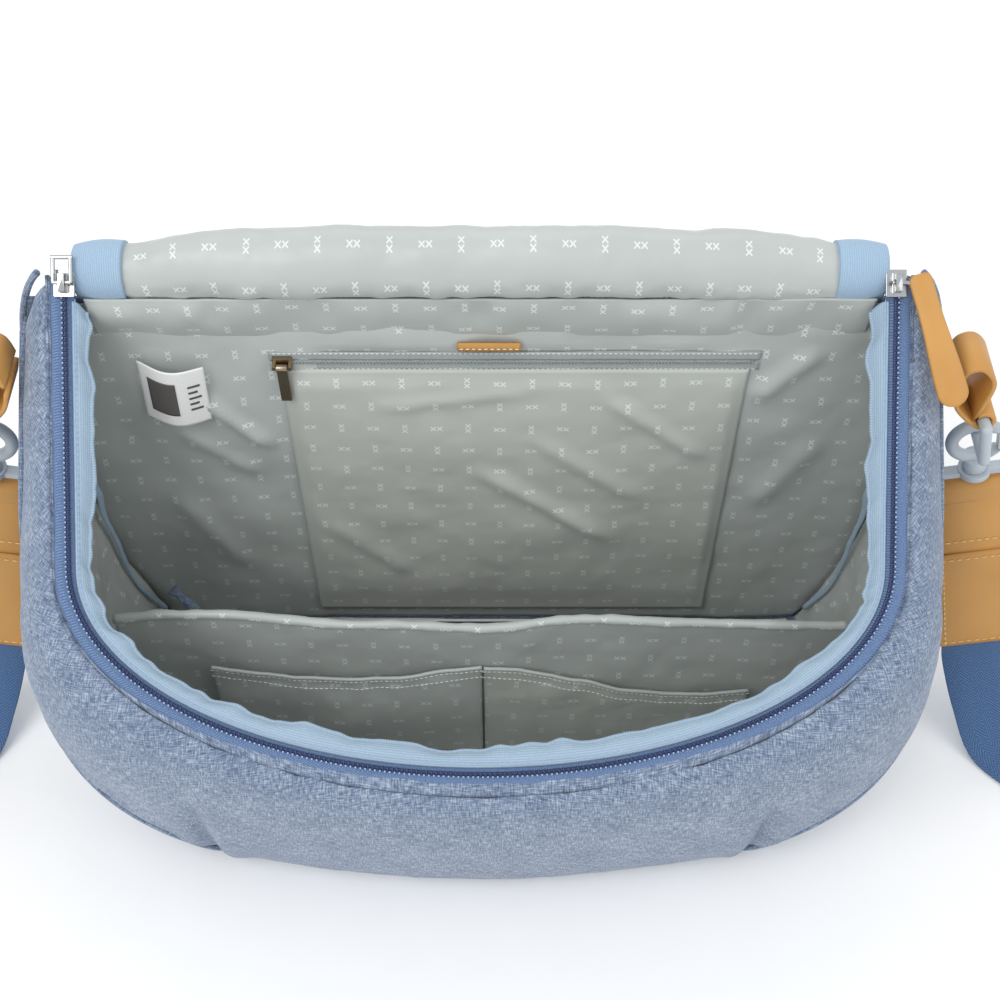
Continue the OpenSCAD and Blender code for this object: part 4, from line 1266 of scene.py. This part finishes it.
strip = upright(
    "gathered_strip", lambda s, z: -193 + 386 * s, 262.0, 293.0,
    lambda x, z, k: 82.6 - 5.5 * k - (
        (1.8 + 1.6 * blob(x / 11, z / 26, 85) + 1.4 * blob(x / 34, z / 40, 86))
        * np.sin(math.pi * np.clip(k, 0, 0.97)) ** 0.7
    ),
    1.0, 26, 260,
)
finished(strip, "bag", "satin_lining", satin)
seam_row = np.column_stack(
    [
        x_line, roll_y + 15.2 * 0.98 * math.cos(seam_a) * np.ones(241),
        roll_path[:, 2] + 15.2 * 1.12 * math.sin(seam_a),
    ]
)
stitches("roll_stitches", seam_row, (0, -0.8, -0.6), pitch=2.8, length=1.8, thick=0.26, slot="satin_lining")
for side, label in ((-1, "left"), (1, "right")):
    x_line = side * np.linspace(172.5, 196.5, 25)
    band_r = 14.2 + 0.8 * np.sin(math.pi * np.linspace(0, 1, 25)) - 1.6 * np.linspace(0, 1, 25) ** 2
    band_profile = round_profile(1.0, 48) * band_r[:, None, None] * np.array([0.98, 1.12])
    band_path = np.column_stack([x_line, np.full(25, roll_y), np.full(25, roll_z - 4.6)])
    band = carried_profile(
        f"hinge_ribbon_{label}",
        band_path if side > 0 else band_path[::-1],
        band_profile if side > 0 else band_profile[::-1],
        (0, 1, 0),
    )
    finished(band, "bag", "binding_tape", ribbon_rib, *(["hinge_binding"] if side > 0 else []))

# %% [markdown]
# ### Bound corners
# Inside, the rear corners are bound with the same pale ribbon. The left one is only
# tacked, so it wanders and bunches up near the floor of the cavity; the bunch takes the darker canvas
# finish, painted shade in that bottom corner.

# %% Bound corners
for side, label in ((-1, "left"), (1, "right")):
    z_line = np.linspace(284, 30, 90)
    edge = np.interp(z_line, profile[:, 2], profile[:, 0]) - 17.5
    wander = 2.2 * blob(z_line / 30, 0 * z_line, 91) + 1.0 * blob(z_line / 11, 0 * z_line, 92)
    corner = np.column_stack([side * (edge - wander), 72.5 + wander * 0.6, z_line])
    width = (3.4 + 1.2 * blob(z_line / 22, 0 * z_line, 93)) * (0.35 + 0.65 * ease((z_line - 110) / 90))
    leaf = round_profile(1.0, 14)[None] * np.stack([width, 0.3 * width + 0.5], axis=-1)[:, None, :]
    finished(
        carried_profile(f"corner_ribbon_{label}", corner, leaf, (side * 0.5, -0.8, 0)), "bag",
        "binding_tape", binding_cloth,
    )
# The bunch near the floor is given the dark canvas: painted shade in the bottom corner of the cavity.
bunch_path = rail_curve(
    [[-190, 66, 60], [-178, 60, 46], [-183, 52, 34], [-166, 58, 24], [-150, 48, 16]], 10,
)
bunch_k = np.arange(len(bunch_path))
bunch_w = 5.0 * np.sin(math.pi * np.linspace(0.06, 0.94, len(bunch_path))) ** 0.5
bunch_w = bunch_w + 2.2 * blob(bunch_k / 3.1, 0 * bunch_k, 95)
bunch_profile = round_profile(1.0, 20)[None] * np.stack([bunch_w, 0.6 * bunch_w], axis=-1)[:, None, :]
finished(
    carried_profile("bunched_corner_painted_shade", bunch_path, bunch_profile, (0.6, 0.5, 0.2)), "bag", "melange_cloth",
    melange_painted_shade,
)

# %% [markdown]
# ## The lid
# The lid is the same D as the mouth, hanging behind the bag. Each layer is a grid
# whose width follows the D at every row, so the cloth can swell and wrinkle.

# %% Lid layers
lid_hang, lid_start = math.radians(3.0), 26.3


def lid_place(x, s, n):
    """From the lid's own frame (x, distance from the hinge, height off the lid) to the open lid's place."""
    return np.stack(
        [
            x, hinge_y + s * math.sin(lid_hang) + n * math.cos(lid_hang),
            hinge_z - s * math.cos(lid_hang) + n * math.sin(lid_hang),
        ],
        axis=-1,
    )


def lid_half(s, grow):
    """Half width of the lid at a distance s from the hinge: straight, then an ellipse."""
    s0, reach = (hinge_y - side_end_y) / math.cos(slope_a), (mouth_round + grow) / math.cos(slope_a)
    return (mouth_half + grow) * np.sqrt(np.clip(1 - (np.maximum(s - s0, 0) / reach) ** 2, 1e-6, 1))


def lid_layer(name, grow, n_face, wall, swell, relief, finish, node, slot, rear_face, start=0.0):
    """One layer as a grid: rows down the lid, crowded at its rounded end, and columns across it."""
    s0, reach = (hinge_y - side_end_y) / math.cos(slope_a), (mouth_round + grow) / math.cos(slope_a)
    rows = np.concatenate(
        [
            np.linspace(lid_start + start, s0, 46)[:-1],
            s0 + reach * np.sin(np.radians(np.linspace(0, 89.4, 60))),
        ]
    )
    s, u = np.meshgrid(
        rows, np.sin(np.radians(np.linspace(-90, 90, 141))) * 0.35 + np.linspace(-1, 1, 141) * 0.65,
        indexing="ij",
    )
    x = u * lid_half(s, grow)
    inward = np.minimum(lid_half(s, grow) - np.abs(x), s - lid_start - start + 2)
    edge = ease(inward / 26)
    wrinkle = relief * crumple(x, s, 40, seed=101) + 0.5 * relief * crumple(x, s, 16, seed=103)
    n = n_face + (swell + wrinkle) * edge
    points = lid_place(x, s, n)
    uv = np.stack([x, -s], axis=-1) * MM
    if not rear_face:
        points, uv = points[:, ::-1], uv[:, ::-1]
    piece = cloth_sheet(name, points, wall, uv)
    return finished(piece, "lid", slot, finish, node)


lid_layer("lid_canvas", -4.0, 0.6, 2.2, 0.0, 0.0, melange, "lid_shell", "melange_cloth", False)
lid_pad = lid_layer("lid_pad", -14.0, 9.0, 5.6, 0.0, 0.0, foam_finish, "lid_padding", "foam", True, 4.0)
lid_layer("lid_satin", -11.5, 10.4, 1.0, 3.0, 1.6, satin, "lid_lining", "satin_lining", True)
rim_t = np.linspace(-1, 1, 361)


def lid_rim(grow, n):
    x, y = d_outline(rim_t, mouth_half + grow, mouth_round + grow, hinge_y - lid_start * math.cos(slope_a))
    return lid_place(x, (hinge_y - y) / math.cos(slope_a), n + 0 * x)


tape_rows = np.stack([lid_rim(g, n) for g, n in ((-0.9, 1.5), (-2.5, 1.2), (-4.0, 1.2), (-6.0, 3.0))])
finished(cloth_sheet("lid_tape", tape_rows[::-1], 0.8), "lid", "zip_tape", zip_cloth, "lid_zip_tape")
band_rows = np.stack(
    [
        lid_rim(g, n)
        for g, n in ((-2.6, 3.2), (-3.0, 6.0), (-4.6, 9.4), (-8.0, 11.6), (-12.5, 12.0), (-13.0, 10.6))
    ]
)
finished(cloth_sheet("lid_ribbon", band_rows, 0.9), "lid", "binding_tape", binding_cloth)
lid_normal = np.array([0.0, math.cos(lid_hang), math.sin(lid_hang)])
coil("lid_coil", lid_rim(-0.75, 1.2), 1, lid_normal, "lid", "lid_zip_teeth", width=1.6, thick=0.6)
stitches(
    "lid_stitches", lid_rim(-11.0, 12.1), lid_normal, "lid", thread_light, slot="binding_tape", thick=0.28,
)

# %% [markdown]
# ## Labels
# A short leather strip is sewn above the inner zip, and a folded satin care label is
# caught in the left corner. Its print is only generic grey bars.

# %% Labels
strip_x = np.linspace(-12, 20, 33)
label_rows = 9
k, x = np.meshgrid(np.linspace(0, 1, label_rows), strip_x, indexing="ij")
lift = 78.6 - 0.9 * np.sin(math.pi * k) - 1.2 * np.sin((x + 12) / 32 * math.pi)
label_points = np.stack([x, lift, 255.0 + 6.0 * k + 1.2 * np.sin((x + 12) / 32 * math.pi)], axis=-1)
finished(cloth_sheet("leather_strip", label_points, 1.6), "bag", "leather", leather, "leather_label")
row_x = np.linspace(-10, 18, 40)
stitches(
    "leather_strip_stitches",
    np.column_stack(
        [
            row_x, 77.2 - 1.2 * np.sin((row_x + 12) / 32 * math.pi),
            258.2 + 1.2 * np.sin((row_x + 12) / 32 * math.pi),
        ]
    ),
    (0, -1, 0), pitch=2.6, length=1.8, thick=0.3, slot="leather",
)
k, s = np.meshgrid(np.linspace(0, 1, 30), np.linspace(0, 1, 24), indexing="ij")
care_points = np.stack(
    [
        -178 + 34 * s + 2 * k, 77.0 - 6.5 * np.sin(math.pi * s) ** 1.2 - 2.0 * k * s,
        250 - 42 * (1 - k) - 3 * s,
    ],
    axis=-1,
)
finished(cloth_sheet("care_tag", care_points, 0.5), "bag", "label_cloth", care_cloth, "care_label")
print_points = care_points[6:24, 3:14] - np.array([0, 0.35, 0])
finished(cloth_sheet("care_tag_patch", print_points, 0.2), "bag", "label_cloth", print_grey)
for n in range(5):
    bar = care_points[8 + 3 * n:10 + 3 * n, 17:22 - n % 2] - np.array([0, 0.35, 0])
    finished(cloth_sheet(f"care_tag_bar_{n}", bar, 0.2), "bag", "label_cloth", print_grey)

# %% [markdown]
# ## Leather
# The puller is a rounded tongue of thick smooth leather. Its thickness is crowned: the
# face sinks toward the cut edge, and the edge is painted a darker brown.

# %% Leather puller
slider_at = np.array([mouth_half, 79.0, mouth_z(79.0)])
run_way = np.array([0.0, math.cos(slope_a), math.sin(slope_a)])


def on_slider(p, side=1):
    """Slider frame to the bag's: x across, y along the zip to the rear, z off the mouth plane."""
    p = np.asarray(p, dtype=float)
    world = slider_at * np.array([side, 1, 1]) + p[..., 1:2] * run_way + p[..., 2:3] * up_mouth
    world[..., 0] += p[..., 0]
    return world


puller_turn, puller_l = math.radians(17), 66.0
length_share = np.linspace(0, 1, 70)
half = 5.6 + 1.9 * ease((length_share - 0.25) / 0.6)
round_tip = np.sqrt(np.clip(1 - ((length_share - 0.89) / 0.11).clip(0) ** 2, 0.02, 1))
round_root = np.sqrt(np.clip(1 - ((0.05 - length_share) / 0.05).clip(0) ** 2 * 0.7, 0.02, 1))
half = half * round_tip * round_root
down = -puller_l * length_share
bend = 4.6 + 0.6 * np.sin(math.pi * length_share)
centre = np.stack([np.zeros(70), down, bend], axis=-1)
turn = np.array(
    [
        [math.cos(puller_turn), math.sin(puller_turn), 0],
        [-math.sin(puller_turn), math.cos(puller_turn), 0], [0, 0, 1],
    ]
)
oval = np.array(
    [
        [1, -0.6], [1, 0.6], [0.9, 1.25], [0.6, 1.6], [0, 1.75], [-0.6, 1.6], [-0.9, 1.25], [-1, 0.6],
        [-1, -0.6], [-0.85, -1.3], [0, -1.45], [0.85, -1.3],
    ]
)
oval_rows = np.stack(
    [oval[None, :, 0] * half[:, None], np.broadcast_to(oval[None, :, 1], (70, 12))], axis=-1,
)
local = centre @ turn + np.array([9.5, 4.0, 1.4])
puller_path = on_slider(local)
across_way = on_slider(np.array([[math.cos(puller_turn), math.sin(puller_turn), 0.0]]))[0] - slider_at
puller = carried_profile("leather_tongue", puller_path, oval_rows, -across_way)
finished(puller, "puller_right", "leather", leather, "leather_puller")
edge_l = carried_profile(
    "leather_tongue_edge", puller_path,
    np.stack([oval_rows[..., 0] * 1.015, oval_rows[..., 1] * 0.42], axis=-1), -across_way,
)
finished(edge_l, "puller_right", "leather", leather_edge)
wire = on_slider(rail_curve([[-3, 0, 6], [3.5, 0, 6], [7, -0.5, 6], [9.5, 2.5, 6.0]], 6))
finished(
    carried_profile("puller_wire", wire, round_profile(0.95, 10), (0, 0, 1)), "puller_right", "steel",
    nickel,
)

# %% [markdown]
# ### Loops and tabs
# A loop is one strip that leaves the side seam, goes round the ring's bar and comes
# back to itself. The tab is a folded strip that holds the swivel's bar above and the
# webbing's end below, with a sewn patch round the webbing.


# %% Loops and tabs
def strip(name, path, wide, thick, across, body, node=None, finish=None):
    edge = np.array([
        [wide / 2, -thick * 0.3], [wide / 2, thick * 0.3], [wide / 2 - 0.5, thick / 2], [0, thick / 2],
        [-wide / 2 + 0.5, thick / 2], [-wide / 2, thick * 0.3], [-wide / 2, -thick * 0.3],
        [-wide / 2 + 0.5, -thick / 2], [0, -thick / 2], [wide / 2 - 0.5, -thick / 2],
    ])
    piece = carried_profile(name, path, edge, across)
    return finished(piece, body, "leather", finish or leather, *([node] if node else []))


bar_r = 4.9
for side, label in ((-1, "left"), (1, "right")):
    reach = abs(wrap(side * 0.9, 0.86)[0])
    angle = np.radians(np.linspace(160, -160, 26))
    round_bar = np.stack(
        [
            ring_at[0] + bar_r * np.cos(angle), np.full(26, ring_at[1]), ring_at[2] + bar_r * np.sin(angle),
        ], axis=-1
    )
    top_leg = rail_curve(
        [
            [reach + 1.0, ring_at[1], ring_at[2] + 25], [reach + 3.5, ring_at[1], ring_at[2] + 35],
            [reach + 11, ring_at[1], ring_at[2] + 37], [ring_at[0] - 2, ring_at[1], ring_at[2] + 27],
            [ring_at[0] - 3.5, ring_at[1], ring_at[2] + 10],
        ],
        6,
    )
    low_leg = rail_curve(
        [
            [ring_at[0] - 6.2, ring_at[1], ring_at[2] - 1.5], [reach + 5.0, ring_at[1], ring_at[2] + 9],
            [reach + 1.0, ring_at[1], ring_at[2] + 20],
        ],
        6,
    )
    loop_path = np.concatenate([top_leg, round_bar, low_leg])
    loop_path[:, 0] *= side
    strip(f"leather_strap_loop_{label}", loop_path, 26.0, 2.4, (0, 1, 0), "bag", f"leather_loop_{label}")

    # The tab is a front layer, a turn round the bar and a rear layer.
    angle = np.radians(np.linspace(-10, 190, 20))
    turn_r = 2.4 + 0.35 + 1.3
    over = np.stack([np.zeros(20), -turn_r * np.cos(angle), turn_r * np.sin(angle)], axis=-1)
    front_leg = np.array(
        [[0, -2.15, -tab_len], [0, -2.15, -60], [0, -2.15, -16], [0, -2.6, -9], [0, -3.6, -4]]
    )
    rear_leg = front_leg[::-1] * np.array([1, -1, 1])
    tab_path = np.concatenate([rail_curve(front_leg, 8), over, rail_curve(rear_leg, 8)])
    world_path = tab_frame(tab_path, side)
    strip(
        f"leather_tab_cloth_{label}", world_path, tab_w, 2.2,
        np.array([side * math.cos(lean_out), 0, math.sin(lean_out)]), f"tab_{label}",
        f"leather_tab_{label}",
    )
    patch_path = tab_frame(np.array([[0, -3.7, -46.0], [0, -3.9, -80.0], [0, -3.7, -tab_len + 0.5]]), side)
    strip(
        f"leather_patch_{label}", rail_curve(patch_path, 8), tab_w - 0.8, 1.5,
        np.array([side * math.cos(lean_out), 0, math.sin(lean_out)]), f"tab_{label}",
    )
    out_way = tab_frame([0, -1, 0], side)[0] - tab_frame([0, 0, 0], side)[0]
    half_in = tab_w / 2 - 3.2
    frame_line = rail_curve([[-half_in, -4.75, -50], [-half_in, -4.85, -82], [-half_in, -4.7, -112.6]], 8)
    rows = [
        frame_line,
        frame_line * np.array([-1, 1, 1]),
        np.array([[-half_in, -4.75, -50], [half_in, -4.75, -50]]),
        np.array([[-half_in, -4.7, -112.6], [half_in, -4.7, -112.6]]),
        np.array([[-half_in - 1, -3.5, -38], [half_in + 1, -3.5, -38]]),
    ]
    for n, row in enumerate(rows):
        stitches(
            f"tab_stitches_{label}_{n}", tab_frame(row, side), out_way, f"tab_{label}", thread_tan,
            pitch=3.6, length=2.6, thick=0.42, slot="leather",
        )

# %% [markdown]
# ### Hardware kept from the design
# The rings, hooks, gates, swivels, sliders and pulls already have the right shapes.
# Their edges are welded and rounded a little, and each slot gets its real finish.

# %% Carried-over hardware
finishes_by_slot = {
    "melange_cloth": melange, "satin_lining": satin, "binding_tape": binding_cloth,
    "zip_tape": zip_cloth, "zip_coil": coil_nylon, "grey_tape": grey_zip_cloth,
    "leather": leather, "grey_plastic": grey_acetal, "steel": nickel, "bronze": aged_nickel,
    "webbing": strap_cloth, "foam": foam_finish, "board": board_finish, "label_cloth": care_cloth,
}
rounding = {
    "plastic_ring": 0.0, "snap_hook": 0.5, "hook_gate": 0.8, "swivel_bar": 0.7, "slider": 0.45,
    "pull_ring": 0.0, "inner_zip": 0.35,
}
for name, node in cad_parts.items():
    for place in node.material_slots:
        slot_name = place.material.name.split(".")[0] if place.material else ""
        place.material = finishes_by_slot.get(slot_name, grey_acetal)
    for start, size in rounding.items():
        if name.startswith(start) and size:
            weld = node.modifiers.new("weld", "WELD")
            weld.merge_threshold = 0.00001
            bevel = node.modifiers.new("bevel", "BEVEL")
            bevel.width = size * MM
            bevel.segments = 2
            bevel.limit_method = "ANGLE"
            bevel.angle_limit = math.radians(40)
print("kept nodes:", [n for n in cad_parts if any(n.startswith(k) for k in rounding)])

# %% [markdown]
# ### Bar tacks and small marks
# At the mouth of each side pocket four thick off-white threads in a chevron hold the
# slit together.

# %% Chevron bar tacks
for side, label in ((-1, "left"), (1, "right")):
    for n in range(4):
        share = np.linspace(-1, 1, 21)
        t_row = side * (0.745 - 0.022 * (1 - np.abs(share)) + 0.030 * share)
        v_row = 0.565 - 0.020 * n + 0.018 * np.abs(share)
        line = skin(t_row, v_row, np.full(21, 4.6))
        tack = carried_profile(f"bar_tack_{label}_{n}", line, round_profile(0.85, 8), (0, 0, 1))
        finished(tack, "bag", "webbing", thread_white)
